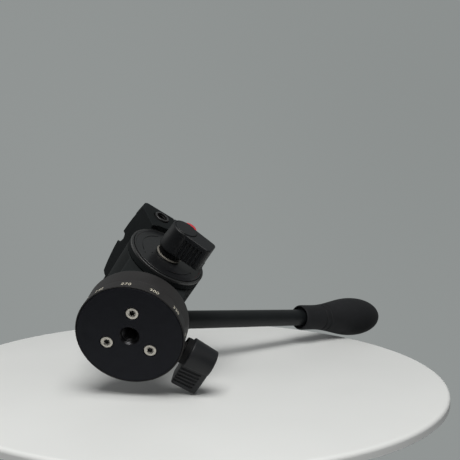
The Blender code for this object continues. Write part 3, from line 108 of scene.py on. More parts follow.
# Tilt bracket, measured from the tilt axis. A spot is (y, z)
BLOCK_HALF = 0.028
BLOCK_TOP = 0.0414
BLOCK_LIP = 0.0044
BLOCK_CORNER = 0.0018
FRONT_CORNER = 0.0274
FRONT_CENTRE = 0.0300
REAR = 0.0205
REAR_FOOT = 0.026
CHANNEL_FLOOR = 0.0369
CHANNEL_HALF = 0.0193
CHANNEL_UNDERCUT = 0.0022
TAB_ROOM_HALF = 0.0098
TAB_ROOM_TOP = 0.0328
TAB_ROOM_LEFT = 0.0111
NOTCH_HALF = 0.0038
NOTCH_SIDE = 0.0282
NOTCH_MIDDLE = 0.0273
RECESS = ((0.0150, 0.0203), (0.0028, 0.0253), (0.0022, 0.0201))
POCKET_RADIUS = 0.0051
PORT_SPOT = (0.0139, 0.0331)
PORT_POCKET = 0.0078
BUTTON_SPOT = (-0.0050, 0.0352)
BUTTON_POCKET = 0.0082
CLAMP_SPOT = (0.0122, 0.0309)
CLAMP_BORE = 0.0028
LEVEL_PLACE = (-0.0238, 0.0042, BLOCK_TOP)
EAR_SCREW_SPOTS = ((-0.0055, 0.0288), (0.0055, 0.0288))

# Left cap, as radii and as places along the tilt axis
CAP_BORE = 0.0068
CAP_RADIUS = 0.0226
CAP_BACK = 0.0239
CAP_FACE = 0.0251
CAP_SINK = 0.00035
ENGRAVING = 0.0003
CAP_ARC_RADIUS = 0.0172
CAP_ARC_HALF = 0.00028
CAP_ARCS = ((-34, 54), (196, 262))
CAP_DOTS = ((0.0174, -41), (0.0118, -38))

# Right ear
TAB_HALF = 0.0095
TAB_TOP = 0.0325
SIDE_INNER = 0.0114
SIDE_OUTER = 0.0154
EAR_SCREW_FACE = 0.0195
EAR_SCREW_LENGTH = 0.0157
AXLE_CAP_RADIUS = 0.0115
AXLE_CAP_BACK = 0.0157
AXLE_CAP_FACE = 0.0175

# Clamp, plate and camera screw
JAW_THICKNESS = 0.0038
JAW_DROP = 0.0165
JAW_ENDS = (-0.0178, 0.0247)
CLAMP_KNOB_X = 0.0321
PLATE_HALF = 0.0190
PLATE_NECK = 0.0168
PLATE_TOP = 0.0088
PLATE_REACH = 0.025
PAD_MIDDLE = 0.0125
PAD_HALF = 0.0050
PAD_REACH = 0.0210
PAD_FOOT = 0.0082
PAD_TOP = 0.0092
PAD_RIBS = 9
RIB_PITCH = 0.0021
RIB_HALF = 0.00035
BOLT_ROOM = 0.0065
BOLT_ROOM_TOP = 0.0030
BOLT_BORE = 0.0033
BOLT_HEAD = 0.0062
BOLT_HEAD_TOP = 0.0024
BOLT_TOP = 0.0143

# Winged knobs
PAN_KNOB_FOOT = 0.0321
TILT_KNOB_FOOT = 0.0286
HUB = 0.0082
HUB_OPEN = radians(62)
KNOB_LENGTH = 0.0172
KNOB_FOOT = 0.0018
KNOB_FOOT_SCALE = 1.10
KNOB_FACE_SCALE = 0.96
KNOB_BORE_END = 0.0133
KNOB_DISC = 0.0071
KNOB_DISC_SHIFT = 0.0004
COLLAR = 0.0069
SKIRT = 0.0016
SKIRT_BORE = 0.0054
REACH = 0.0202
TIP_HALF = 0.0064
TIP_CORNER = 0.0024
FLUTES = 5
FLUTE_RADIUS = 0.0009
FLUTE_FIRST = 0.13
FLUTE_RUN = 0.73
FLUTE_STOP = 0.0032

# Handle
PIVOT = Vector((0.0226, -0.0202, 0.0669))
HANDLE_RISE = radians(40)
HANDLE_YAW = radians(5.5)
EYE_RADIUS = 0.0084
EYE_HALF = 0.0068
EYE_BORE = 0.0034
TUBE_RADIUS = 0.0060
TUBE_SPIGOT = 0.0040
TUBE_IN_GRIP = 0.0757
GRIP_START = 0.1204
GRIP_LENGTH = 0.0935
GRIP_MOUTH = 0.0032
GRIP_MOUTH_RADIUS = 0.0082
GRIP_BORE_END = 0.076
GRIP_NECK = 0.0093
GRIP_NECK_END = 0.0150
GRIP_BULB = 0.0149
GRIP_BULB_AT = 0.0610
GRIP_LEAD = 0.0014
GRIP_LEAD_DEPTH = 0.0006
# Each groove, and the seam, as its middle, half its width and its depth
GRIP_GROOVES = ((0.0247, 0.0008, 0.0010), (0.0294, 0.0008, 0.0010), (0.0885, 0.0004, 0.0003))

# Colours
ANODISED = (0.0088, 0.0096, 0.0112)
CAST = (0.0215, 0.0205, 0.0208)
# Painted shade: a darker copy of the casting's coating, tinted greener, for the drum
DRUM_PAINTED_SHADE = (0.0165, 0.0188, 0.0192)
BLOCK = (0.0108, 0.0126, 0.0132)
CAP = (0.0090, 0.0095, 0.0105)
# Painted highlight: lighter than the block's coating, for the ear's rim; the port's collar shares it
RIM_PAINTED_HIGHLIGHT = (0.019, 0.0195, 0.0200)
# Painted shade: near black, laid where shade falls in the block's recess, in the port's thread and on the
# knobs' collars
PAINTED_SHADE_BLACK = (0.004, 0.004, 0.0045)
DISC = (0.0072, 0.0080, 0.0116)
PLASTIC = (0.0056, 0.0064, 0.0078)
RUBBER = (0.0115, 0.0122, 0.0138)
TUBE = (0.0074, 0.0088, 0.0096)
STEEL = (0.47, 0.447, 0.405)
DARK_STEEL = (0.034, 0.034, 0.036)
# Painted shade: darker steel for the insides of the screws' hex sockets
SOCKET_SHADE_STEEL = (0.16, 0.155, 0.15)
LAPPED_STEEL = (0.26, 0.245, 0.215)
BRASS = (0.55, 0.42, 0.20)
NYLON = (0.55, 0.53, 0.45)
CREAM = (0.72, 0.68, 0.56)
RED = (0.62, 0.012, 0.030)
LIQUID = ((0.42, 0.62, 0.05), (0.50, 0.72, 0.08))
TABLE = ((0.775, 0.79, 0.78), (0.805, 0.82, 0.81))

# Directions and places
ALONG_X = Matrix(((0, 0, 1, 0), (1, 0, 0, 0), (0, 1, 0, 0), (0, 0, 0, 1)))
ALONG_Y = Matrix(((1, 0, 0, 0), (0, 0, 1, 0), (0, 1, 0, 0), (0, 0, 0, 1)))
OUT_BACK = Matrix.Rotation(QUARTER, 4, "X")
OUT_RIGHT = Matrix.Rotation(QUARTER, 4, "Y")
OUT_LEFT = Matrix.Rotation(-QUARTER, 4, "Y")
WING_TO_REAR = Matrix(((0, 0, -1, 0), (-1, 0, 0, 0), (0, 1, 0, 0), (0, 0, 0, 1)))
PAN_OUT = Matrix.Rotation(radians(-2.5), 4, "Z") @ OUT_BACK
AT_TILT = Matrix.Translation(TILT)
CAP_LINE = AT_TILT @ OUT_LEFT
PAN_KNOB = Matrix.Translation((0, 0, PAN_KNOB_HEIGHT)) @ PAN_OUT @ Matrix.Translation((0, 0, PAN_KNOB_FOOT))
TILT_KNOB_TURN = Matrix.Rotation(radians(13), 4, "X")
TILT_KNOB = AT_TILT @ Matrix.Translation((-TILT_KNOB_FOOT, 0, 0)) @ TILT_KNOB_TURN @ WING_TO_REAR
HANDLE = Matrix.Translation(PIVOT) @ Matrix.Rotation(-HANDLE_RISE, 4, "X")
TUBE_TURN = Matrix.Rotation(-HANDLE_YAW, 4, "Z")
HANDLE_LINE = HANDLE @ TUBE_TURN @ OUT_BACK
IDENTITY = Matrix.Identity(4)

# The round table that the head lies on, and the photograph's camera
TABLE_CENTRE = Vector((0.0385, -0.05216, 0.05732))
TABLE_NORMAL = Vector((-0.78693, 0.51225, 0.34535)).normalized()
TABLE_RADIUS = 0.1586
TABLE_EDGE = 0.0022
TABLE_THICKNESS = 0.0050
CAMERA_ROWS = ((0.524, 0.845, 0.105), (-0.756, 0.519, -0.400), (-0.392, 0.131, 0.910))
CAMERA_SHIFT = (-0.0543, 0.0570, 0.3763)
FOCAL_PIXELS = 700
FRAME_PIXELS = 460
SENSOR = 36

# Light
LAMP_AIM = Vector((0, -0.03, 0.06))
LAMP_COLOUR = (1.0, 0.99, 0.97)
ROOM_COLOUR = (0.80, 0.81, 0.83, 1)
ROOM_STRENGTH = 0.15
WALL_COLOUR = (0.95, 1.0, 0.99, 1)
WALL_STRENGTHS = (0.07, 0.32)
BACKDROP = ((0.245, 0.262, 0.258), (0.320, 0.338, 0.334))

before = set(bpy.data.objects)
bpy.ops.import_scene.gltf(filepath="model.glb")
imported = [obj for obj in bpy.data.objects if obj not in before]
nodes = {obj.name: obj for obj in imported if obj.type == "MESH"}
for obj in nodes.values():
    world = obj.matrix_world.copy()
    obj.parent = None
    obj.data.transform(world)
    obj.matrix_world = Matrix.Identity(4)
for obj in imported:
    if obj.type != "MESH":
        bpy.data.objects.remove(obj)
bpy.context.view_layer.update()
scene = bpy.context.scene


# Mesh helpers

def polar(radius, angle, centre=(0, 0)):
    return (centre[0] + radius * cos(angle), centre[1] + radius * sin(angle))


def arc(radius, start, end, steps, centre=(0, 0)):
    """Points of an arc, both ends included."""
    return [polar(radius, start + (end - start) * step / steps, centre) for step in range(steps + 1)]


def box(left, right, low, high):
    return [(left, low), (right, low), (right, high), (left, high)]


def stepped(low, *steps, bore=0):
    """A profile of cylinders on one another, each (radius, top), round a bore or the axis."""
    profile = [(bore, low)]
    for radius, high in steps:
        profile += [(radius, low), (radius, high)]
        low = high
    return profile + [(bore, low)]


def fillet(points, radius, steps=4):
    """Round the corners of an outline. radius is one length, or one for each corner."""
    count = len(points)
    radii = radius if isinstance(radius, list) else [radius] * count
    out = []
    for index, point in enumerate(points):
        here = Vector(point)
        size = radii[index]
        before = Vector(points[index - 1]) - here
        after = Vector(points[(index + 1) % count]) - here
        turn = before.angle(after, pi)
        if size <= 0 or not radians(2) < turn < radians(178):
            out.append(tuple(here))
            continue
        reach = min(size / tan(turn / 2), before.length * 0.49, after.length * 0.49)
        size = reach * tan(turn / 2)
        inward = (before.normalized() + after.normalized()).normalized()
        centre = here + inward * (size / sin(turn / 2))
        first = (here + before.normalized() * reach - centre).normalized()
        last = (here + after.normalized() * reach - centre).normalized()
        for step in range(steps + 1):
            out.append(tuple(centre + first.slerp(last, step / steps) * size))
    return out


def lathe(profile, segments=MEDIUM, turn=IDENTITY):
    """Spin (radius, height) points about Z. A profile that starts on the axis isn't closed first."""
    shape = bmesh.new()
    points = [shape.verts.new((max(radius, 0), 0, height)) for radius, height in profile]
    pairs = list(zip(points, points[1:]))
    if profile[0][0] > 0:
        pairs.append((points[-1], points[0]))
    edges = [shape.edges.new(pair) for pair in pairs]
    bmesh.ops.spin(shape, geom=points + edges, cent=(0, 0, 0), axis=(0, 0, 1), angle=tau,
                   steps=segments, use_merge=True, use_duplicate=False)
    bmesh.ops.remove_doubles(shape, verts=shape.verts, dist=1e-7)
    bmesh.ops.dissolve_degenerate(shape, edges=shape.edges, dist=1e-7)
    bmesh.ops.transform(shape, matrix=turn, verts=shape.verts)
    return shape


def rod(radius, low, high, segments=SMALL, turn=IDENTITY, edge=0.0):
    return lathe(fillet(stepped(low, (radius, high)), [0, edge, edge, 0]), segments, turn)


def ring(inner, outer, low, high, segments=MEDIUM, edge=0.0):
    return lathe(fillet(box(inner, outer, low, high), edge), segments)


def prism(outline, low, high, turn=IDENTITY):
    shape = bmesh.new()
    corners = [shape.verts.new((u, v, low)) for u, v in outline]
    face = shape.faces.new(corners)
    lifted = bmesh.ops.extrude_face_region(shape, geom=[face])
    top = [item for item in lifted["geom"] if isinstance(item, bmesh.types.BMVert)]
    bmesh.ops.translate(shape, verts=top, vec=(0, 0, high - low))
    bmesh.ops.transform(shape, matrix=turn, verts=shape.verts)
    return shape


def moved(shape, offset):
    bmesh.ops.translate(shape, verts=shape.verts, vec=offset)
    return shape


def merged(*shapes):
    """Several shapes in one mesh, side by side."""
    whole = bmesh.new()
    for shape in shapes:
        part = bpy.data.meshes.new("part")
        shape.to_mesh(part)
        shape.free()
        whole.from_mesh(part)
        bpy.data.meshes.remove(part)
    return whole


def configured(thing, **settings):
    for name, value in settings.items():
        setattr(thing, name, value)
    return thing


def link_object(name, data, place=IDENTITY):
    item = bpy.data.objects.new(name, data)
    scene.collection.objects.link(item)
    item.matrix_world = place
    return item


def evaluated_mesh(item):
    """A new mesh of an object as it looks with its modifiers, or with its text turned into faces."""
    bpy.context.view_layer.update()
    graph = bpy.context.evaluated_depsgraph_get()
    return bpy.data.meshes.new_from_object(item.evaluated_get(graph))


def solid(name, shape, place=IDENTITY):
    """A bmesh as an object whose own axes are those of place."""
    bmesh.ops.recalc_face_normals(shape, faces=shape.faces)
    mesh = bpy.data.meshes.new(name)
    shape.to_mesh(mesh)
    shape.free()
    return link_object(name, mesh, place)


def settle(item):
    """Turn an object's modifiers into plain mesh."""
    mesh = evaluated_mesh(item)
    old = item.data
    item.modifiers.clear()
    item.data = mesh
    mesh.name = item.name
    bpy.data.meshes.remove(old)
    return item


def combine(item, shape, operation):
    """Cut a shape from an item, join it on or keep what both share, in the item's own axes."""
    tool = solid(item.name + "_tool", shape, item.matrix_world)
    modifier = item.modifiers.new("combine", "BOOLEAN")
    configured(modifier, operation=operation, solver="EXACT", object=tool)
    settle(item)
    old = tool.data
    bpy.data.objects.remove(tool, do_unlink=True)
    bpy.data.meshes.remove(old)
    return item


def cut(item, shape):
    return combine(item, shape, "DIFFERENCE")


def join(item, shape):
    return combine(item, shape, "UNION")


def drill(item, radius, low, high, spot=(0, 0), segments=SMALL):
    """Cut a round hole along X, from low to high, at a (y, z) spot."""
    return cut(item, moved(rod(radius, low, high, segments, OUT_RIGHT), (0, *spot)))


def bevel(item, width, segments, angle):
    modifier = item.modifiers.new("bevel", "BEVEL")
    configured(modifier, width=width, segments=segments, limit_method="ANGLE", angle_limit=radians(angle))
    return settle(item)


def soften(item, voxel, rounds, keep):
    """Give a solid the softly rounded edges of a casting or moulding."""
    remesh = item.modifiers.new("remesh", "REMESH")
    configured(remesh, mode="VOXEL", voxel_size=voxel, use_smooth_shade=True)
    configured(item.modifiers.new("smooth", "SMOOTH"), factor=0.5, iterations=rounds)
    configured(item.modifiers.new("fewer", "DECIMATE"), ratio=keep)
    settle(item)
    item.data.shade_smooth()
    return item


def shade(item, angle=32):
    """Smooth shading that leaves flat faces flat."""
    item.data.shade_smooth()
    item.data.set_sharp_from_angle(angle=radians(angle))
    configured(item.modifiers.new("weighted", "WEIGHTED_NORMAL"), weight=100, keep_sharp=True)
    return settle(item)


def threaded(crest, root, pitch, low, high, profile, segments=64):
    """A threaded wall that fades out at both ends, closed by a profile from its top back to its foot."""
    rows = int((high - low) / pitch * THREAD_ROWS)
    rings = []
    for row in range(rows + 1):
        height = low + (high - low) * row / rows
        fade = max(0, min(1, (height - low) / (pitch / 2), (high - height) / (pitch / 2)))
        radii = []
        for step in range(segments):
            phase = (height / pitch - step / segments) % 1
            rise = min(1, max(0, 1.25 - abs(phase * 2 - 1) * 1.5))
            radii.append(root + (crest - root) * rise * fade)
        rings.append((radii, height))
    rings += [([radius] * segments, height) for radius, height in profile]
    shape = bmesh.new()
    loops = []
    for radii, height in rings:
        loop = []
        for step, radius in enumerate(radii):
            loop.append(shape.verts.new((*polar(radius, tau * step / segments), height)))
        loops.append(loop)
    for index, upper in enumerate(loops):
        lower = loops[index - 1]
        if not any(rings[index][0]) and not any(rings[index - 1][0]):
            continue
        for step in range(segments):
            shape.faces.new((lower[step - 1], lower[step], upper[step], upper[step - 1]))
    bmesh.ops.remove_doubles(shape, verts=shape.verts, dist=1e-7)
    return shape


# Materials

def shaded(colour, factor):
    return tuple(channel * factor for channel in colour)


class Nodes:
    """A node tree with short words for what the materials and the world need."""

    def __init__(self, owner):
        owner.use_nodes = True
        self.tree = owner.node_tree
        self.coordinates = self.tree.nodes.new("ShaderNodeTexCoord").outputs

    def feed(self, node, name, value):
        """Link a socket to a node's input, or set the input to a plain value."""
        if isinstance(value, bpy.types.NodeSocket):
            self.tree.links.new(value, node.inputs[name])
        else:
            node.inputs[name].default_value = value

    def node(self, kind, inputs, **settings):
        """Add a shader node with its settings and inputs, each a socket or a plain value."""
        node = configured(self.tree.nodes.new("ShaderNode" + kind), **settings)
        for name, value in inputs.items():
            self.feed(node, name, value)
        return node.outputs

    def noise(self, scale, detail=3.0, roughness=0.5, place=None):
        inputs = {"Vector": place or self.place, "Scale": scale, "Detail": detail, "Roughness": roughness}
        return self.node("TexNoise", inputs)["Fac"]

    def spread(self, source, low, high, start=0.3, end=0.7):
        """Map a pattern to a range of numbers."""
        inputs = {"Value": source, "From Min": start, "From Max": end, "To Min": low, "To Max": high}
        return self.node("MapRange", inputs)["Result"]

    def blend(self, share, first, second):
        """Mix two colours, each a colour or a socket, by a pattern."""
        first, second = [(*value, 1) if isinstance(value, tuple) else value for value in (first, second)]
        return self.node("Mix", {0: share, 6: first, 7: second}, data_type="RGBA")[2]

    def mix(self, share, first, second):
        """Mix two shaders."""
        return self.node("MixShader", {0: share, 1: first, 2: second})[0]


class Finish(Nodes):
    """A material that is built up from its shader."""

    def __init__(self, name, roughness, metallic=0.0, shine=0.5):
        self.material = bpy.data.materials.new(name)
        super().__init__(self.material)
        self.place = self.coordinates["Object"]
        self.shader = self.tree.nodes["Principled BSDF"]
        self.put("Metallic", metallic)
        self.put("Roughness", roughness)
        self.put("Specular IOR Level", shine)

    def put(self, name, value):
        """Feed the material's own shader."""
        self.feed(self.shader, name, value)

    def stretched(self, place, scale):
        return self.node("VectorMath", {0: place, 1: scale}, operation="MULTIPLY")["Vector"]

    def around(self):
        """Distance from the object's own Z axis, as a vector along X."""
        flat = self.stretched(self.place, (1, 1, 0))
        length = self.node("VectorMath", {0: flat}, operation="LENGTH")["Value"]
        return self.node("CombineXYZ", {0: length})[0]

    def mottled(self, pattern, colour, dark, light):
        """A colour that a pattern darkens and lightens."""
        return self.blend(self.spread(pattern, 0.0, 1.0), shaded(colour, dark), shaded(colour, light))

    def rough(self, source, low, high):
        self.put("Roughness", self.spread(source, low, high))

    def bump(self, *layers):
        """Layers of (pattern, strength, depth in metres), one on another."""
        normal = {}
        for source, strength, depth in layers:
            inputs = {"Height": source, "Strength": strength, "Distance": depth, **normal}
            normal = {"Normal": self.node("Bump", inputs)["Normal"]}
        self.put("Normal", normal["Normal"])

    def edges(self):
        """Where the surface is a sharp outward edge, from 0 to 1."""
        return self.spread(self.node("NewGeometry", {})["Pointiness"], 0.0, 1.0, 0.535, 0.61)


def coated(name, colour, roughness=0.5, grain=2600, depth=0.00003, edge_wear_and_highlight=0.0, shine=0.22):
    """Fine blasted and anodised or powder coated metal, lightened on its sharp edges where
    edge_wear_and_highlight isn't zero: rubbed edges and a painted highlight.
    """
    finish = Finish(name, roughness, shine=shine)
    fine = finish.noise(grain, 2.0)
    cloud = finish.noise(70, 4.0)
    base = finish.mottled(cloud, colour, 0.82, 1.2)
    # Painted highlight with rubbed patches: sharp edges lightened towards a paler colour
    if edge_wear_and_highlight:
        patches = finish.spread(finish.noise(420), edge_wear_and_highlight / 3, edge_wear_and_highlight, 0.4, 0.65)
        rubbed_and_highlit = finish.node("Math", {0: finish.edges(), 1: patches}, operation="MULTIPLY")[0]
        base = finish.blend(rubbed_and_highlit, base, tuple(channel * 2 + 0.05 for channel in colour))
    finish.put("Base Color", base)
    finish.rough(cloud, roughness - 0.06, roughness + 0.08)
    finish.bump((cloud, 0.05, 0.0004), (fine, 0.35, depth))
    return finish.material


def turned_metal(name, colour, roughness=0.3, lines=2200, metallic=1.0, depth=0.00002, shine=0.5):
    """Metal with the fine rings that a lathe leaves round the object's own axis."""
    finish = Finish(name, roughness, metallic, shine)
    rings = finish.noise(lines, 2.0, 0.6, finish.around())
    finish.put("Base Color", finish.mottled(finish.noise(160), colour, 0.88, 1.08))
    finish.rough(rings, roughness - 0.05, roughness + 0.12)
    finish.bump((rings, 0.25, depth))
    return finish.material


def moulded(name, colour, roughness=0.50, grain=3200, depth=0.00003):
    """Moulded plastic with the fine grain of its tool and slightly paler edges, which paint a highlight."""
    finish = Finish(name, roughness, shine=0.38)
    cloud = finish.noise(55)
    base = finish.mottled(cloud, colour, 0.86, 1.18)
    # Painted highlight: sharp edges lightened towards a paler copy of the colour
    pale = finish.spread(finish.edges(), 0.0, 0.22, 0, 1)
    finish.put("Base Color", finish.blend(pale, base, shaded(colour, 2.4)))
    finish.rough(cloud, roughness - 0.05, roughness + 0.07)
    finish.bump((finish.noise(grain, 3.0, 0.6), 0.4, depth))
    return finish.material


def soft_rubber(name, colour, roughness=0.72, grain=2000):
    """Matt rubber with a fine skin and a little dust."""
    finish = Finish(name, roughness, shine=0.25)
    cloud = finish.noise(40, 4.0)
    base = finish.mottled(cloud, colour, 0.85, 1.15)
    dust = finish.spread(finish.noise(230, 5.0, 0.7), 0.0, 0.16, 0.52, 0.75)
    finish.put("Base Color", finish.blend(dust, base, shaded(colour, 3.0)))
    finish.rough(cloud, roughness - 0.07, roughness + 0.08)
    finish.bump((finish.noise(grain, 4.0, 0.65), 0.45, 0.00005))
    return finish.material


def brushed_tube(name, colour, roughness=0.44):
    """Drawn and anodised tube, with faint lines along its own Z axis."""
    finish = Finish(name, roughness, shine=0.25)
    lines = finish.noise(60, 3.0, 0.6, finish.stretched(finish.place, (60, 60, 1.2)))
    finish.put("Base Color", finish.mottled(finish.noise(45, 4.0), colour, 0.85, 1.2))
    finish.rough(lines, roughness - 0.04, roughness + 0.08)
    finish.bump((lines, 0.12, 0.00003))
    return finish.material


def printed(name, colour):
    finish = Finish(name, 0.55)
    speck = finish.noise(2400, 2.0)
    finish.put("Base Color", finish.mottled(speck, colour, 0.8, 1.0))
    finish.bump((speck, 0.15, 0.00002))
    return finish.material


def vial_liquid(name, colours):
    finish = Finish(name, 0.06)
    cloud = finish.noise(300, 2.0)
    finish.put("Base Color", finish.blend(finish.spread(cloud, 0.0, 1.0), *colours))
    finish.rough(cloud, 0.05, 0.09)
    finish.put("Coat Weight", 1.0)
    finish.put("Coat Roughness", 0.03)
    return finish.material


def table_top(name, colours):
    """Pale matt table, which isn't seen from underneath and lets the lamps' light through."""
    finish = Finish(name, 0.55)
    cloud = finish.noise(9)
    finish.put("Base Color", finish.blend(finish.spread(cloud, 0.0, 1.0), *colours))
    finish.rough(cloud, 0.5, 0.6)
    behind = finish.node("NewGeometry", {})["Backfacing"]
    shadow = finish.node("LightPath", {})["Is Shadow Ray"]
    unseen = finish.node("Math", {0: behind, 1: shadow}, operation="MAXIMUM")[0]
    clear = finish.node("BsdfTransparent", {})[0]
    surface = finish.mix(unseen, finish.shader.outputs[0], clear)
    finish.feed(finish.tree.nodes["Material Output"], "Surface", surface)
    return finish.material


materials = {
    "anodised": coated("satin_black_anodised", ANODISED, 0.46),
    "ring": coated("black_ring_coating", CAST, 0.52, 1900, 0.00004),
    "cast": coated("black_cast_coating", CAST, 0.52, 1900, 0.00004, edge_wear_and_highlight=0.2),
    # Painted shade on the drum, a darker copy of the cast coating
    "drum": coated("painted_shade_drum_coating", DRUM_PAINTED_SHADE, 0.74, 1900, edge_wear_and_highlight=0.2, shine=0.09),
    "block": coated("black_block_coating", BLOCK, 0.80, 2000, 0.00004, edge_wear_and_highlight=0.5, shine=0.07),
    "cap": coated("satin_cap_coating", CAP, 0.30, 2400, 0.00002, shine=0.40),
    "ear": coated("black_ear_coating", BLOCK, 0.62, 2000, 0.00004, shine=0.2),
    "plastic": moulded("black_grained_plastic", PLASTIC),
    "rubber": soft_rubber("soft_black_rubber", RUBBER),
    "tube": brushed_tube("black_drawn_tube", TUBE),
    # Painted highlight: a lighter, glossier coating for the ear's rim and the port's collar
    "rim": coated("polished_rim_painted_highlight", RIM_PAINTED_HIGHLIGHT, 0.36, 2400, 0.00001, shine=0.42),
    # Painted shade, near black
    "painted_shade": coated("painted_shade_black", PAINTED_SHADE_BLACK, 0.6, 2400, 0.00001, shine=0.15),
    "steel": turned_metal("turned_steel", STEEL, 0.28),
    "dark_steel": turned_metal("dark_steel", DARK_STEEL, 0.34),
    "brass": turned_metal("turned_brass", BRASS, 0.35),
    # Painted shade: darker steel for the hex sockets
    "socket": turned_metal("painted_socket_shade_steel", SOCKET_SHADE_STEEL, 0.40),
    "washer": turned_metal("lapped_washer_steel", LAPPED_STEEL, 0.42, 2200, 0.35, 0.000002, 0.3),
    "disc": turned_metal("turned_black_anodised", DISC, 0.55, 1500, 0.0, 0.00001, 0.14),
    "nylon": moulded("pale_nylon", NYLON, 0.5, 2600),
    "red": moulded("red_plastic", RED, 0.36, 2600, 0.00002),
    "cream": printed("cream_print", CREAM),
    "vial": vial_liquid("vial_liquid", LIQUID),
    "table": table_top("pale_table", TABLE),
}


def cover(item, finish):
    item.data.materials.clear()
    item.data.materials.append(materials[finish])


def dress(item, finish, body, *replaced):
    """Give a piece its material and its body, and hide the CAD nodes that it stands for."""
    cover(item, finish)
    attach(item, body)
    if replaced:
        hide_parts(*replaced)
    return item


def paint(item, finish, chosen):
    """Give the faces that are chosen by their centre a second material."""
    item.data.materials.append(materials[finish])
    for face in item.data.polygons:
        if chosen(face.center):
            face.material_index = 1


def off_axis(spot):
    return hypot(spot.x, spot.y)


def piece(name, shape, place, finish, body, *replaced, angle=32):
    """A shape that needs nothing cut, as a dressed piece."""
    return dress(shade(solid(name, shape, place), angle), finish, body, *replaced)


def from_tilt(x, y, z):
    """A place measured from the tilt axis."""
    return AT_TILT @ Matrix.Translation((x, y, z))


# Base

def base_screw_spots():
    return [polar(SCREW_CIRCLE, SCREW_FIRST + index * tau / 3) for index in range(3)]


def make_base_plate():
    profile = stepped(0, (RIM_RADIUS, BASE_THICKNESS), (BOSS_RADIUS, BOSS_TOP), bore=BUSH_RADIUS + FIT)
    plate = solid("base_disc", lathe(fillet(profile, [0, 0.00035, 0, 0, 0.0003, 0]), FINE))
    mouth = COUNTERBORE + COUNTERBORE_EDGE
    hole = [(0, -OVER), (mouth, -OVER), (mouth, 0), (COUNTERBORE, COUNTERBORE_EDGE),
            (COUNTERBORE, COUNTERBORE_DEPTH), (STUD_HOLE, COUNTERBORE_DEPTH), (STUD_HOLE, BOSS_TOP + OVER),
            (0, BOSS_TOP + OVER)]
    for spot in base_screw_spots():
        cut(plate, moved(lathe(hole, SMALL), (*spot, 0)))
    dress(shade(plate), "disc", "base", "base_plate")


def make_screw(name, place, length, body, node):
    """A socket cap screw with its head's face at zero and its shank along +Z of place."""
    profile = stepped(0, (HEAD_RADIUS, HEAD_HEIGHT), (SHANK_RADIUS, length))
    screw = solid(name, lathe(fillet(profile, [0, 0.00035, 0.0001, 0, 0.0003, 0]), SMALL), place)
    cut(screw, lathe([(0, -OVER), (HEX_MOUTH, -OVER), (HEX_MOUTH, 0), (HEX_RADIUS - 0.00005, HEX_LEAD),
                      (0, HEX_LEAD)], SMALL))
    cut(screw, rod(HEX_RADIUS, -OVER, HEX_DEPTH, 6))
    cone = [(0, -0.0001), (HEX_RADIUS - 0.0003, -0.0001), (0, 0.0008)]
    cut(screw, moved(lathe(cone, 6), (0, 0, HEX_DEPTH)))
    dress(shade(screw), "steel", body, node)
    # Painted shade: the hex socket's walls and floor take a darker steel than the screw
    paint(screw, "socket", lambda spot: off_axis(spot) < HEX_RADIUS - 0.00002 and 0.0004 < spot.z < 0.0040)


def make_base_screws():
    for index, spot in enumerate(base_screw_spots()):
        turn = Matrix.Rotation(radians(17 + 31 * index), 4, "Z")
        place = Matrix.Translation((*spot, GAP)) @ turn
        number = index + 1
        make_screw("base_socket_screw_%d" % number, place, 0.0100, "base", "base_screw_%d" % number)


def make_thread_bush():
    """The bush with its 3/8 inch thread."""
    face = 0.00002
    outside = [(0.0047, BUSH_LENGTH), (BUSH_RADIUS, BUSH_LENGTH), (BUSH_RADIUS, face), (BUSH_MOUTH, face),
               (0.0048, 0.0010)]
    shape = threaded(0.0040, 0.0047, TRIPOD_PITCH, GAP + 0.0010, BUSH_LENGTH - 0.0003, outside, MEDIUM)
    bush = piece("threaded_bush", shape, IDENTITY, "disc", "base", "thread_bush", angle=50)
    paint(bush, "dark_steel", lambda spot: off_axis(spot) < BUSH_MOUTH + 0.0002 and spot.z > 0.0001)


def make_degree_ring():
    """The ring and its numbers, which ride on the base."""
    lip = RIM_RADIUS + GAP
    inner = BOSS_RADIUS + GAP
    foot = BASE_THICKNESS + GAP
    profile = fillet(
        [(inner, foot), (lip, foot), (lip, RING_LIFT), (BASE_RADIUS, RING_LIFT), (BASE_RADIUS, RING_BAND),
         (RING_TOP_RADIUS, RING_TOP), (inner, RING_TOP)], [0, 0, 0, 0.00025, 0, 0.00005, 0])
    piece("degree_ring", lathe(profile, FINE), IDENTITY, "ring", "base", "scale_ring")
    values = range(0, 360, LABEL_STEP)
    labels = [bent_number(str(value), LABEL_ZERO + radians(value)) for value in values]
    piece("degree_numbers", merged(*labels), IDENTITY, "cream", "base", angle=20)


def ring_radius(height):
    share = min(1, max(0, (height - RING_BAND) / (RING_TOP - RING_BAND)))
    return BASE_RADIUS + (RING_TOP_RADIUS - BASE_RADIUS) * share


def bent_number(text, middle):
    """A number laid round the ring, a hair proud of it."""
    curve = bpy.data.curves.new("number", "FONT")
    configured(curve, body=text, align_x="CENTER", align_y="CENTER", size=LABEL_HEIGHT / 0.70,
               space_character=1.06, extrude=0.00002)
    item = link_object("number", curve)
    mesh = evaluated_mesh(item)
    shape = bmesh.new()
    shape.from_mesh(mesh)
    bpy.data.objects.remove(item, do_unlink=True)
    bpy.data.curves.remove(curve)
    bpy.data.meshes.remove(mesh)
    for vertex in shape.verts:
        across, up, out = vertex.co
        height = LABEL_Z + up
        radius = ring_radius(height) + out + 0.00001
        angle = middle + across / BASE_RADIUS
        vertex.co = (*polar(radius, angle), height)
    return shape


# Pan housing

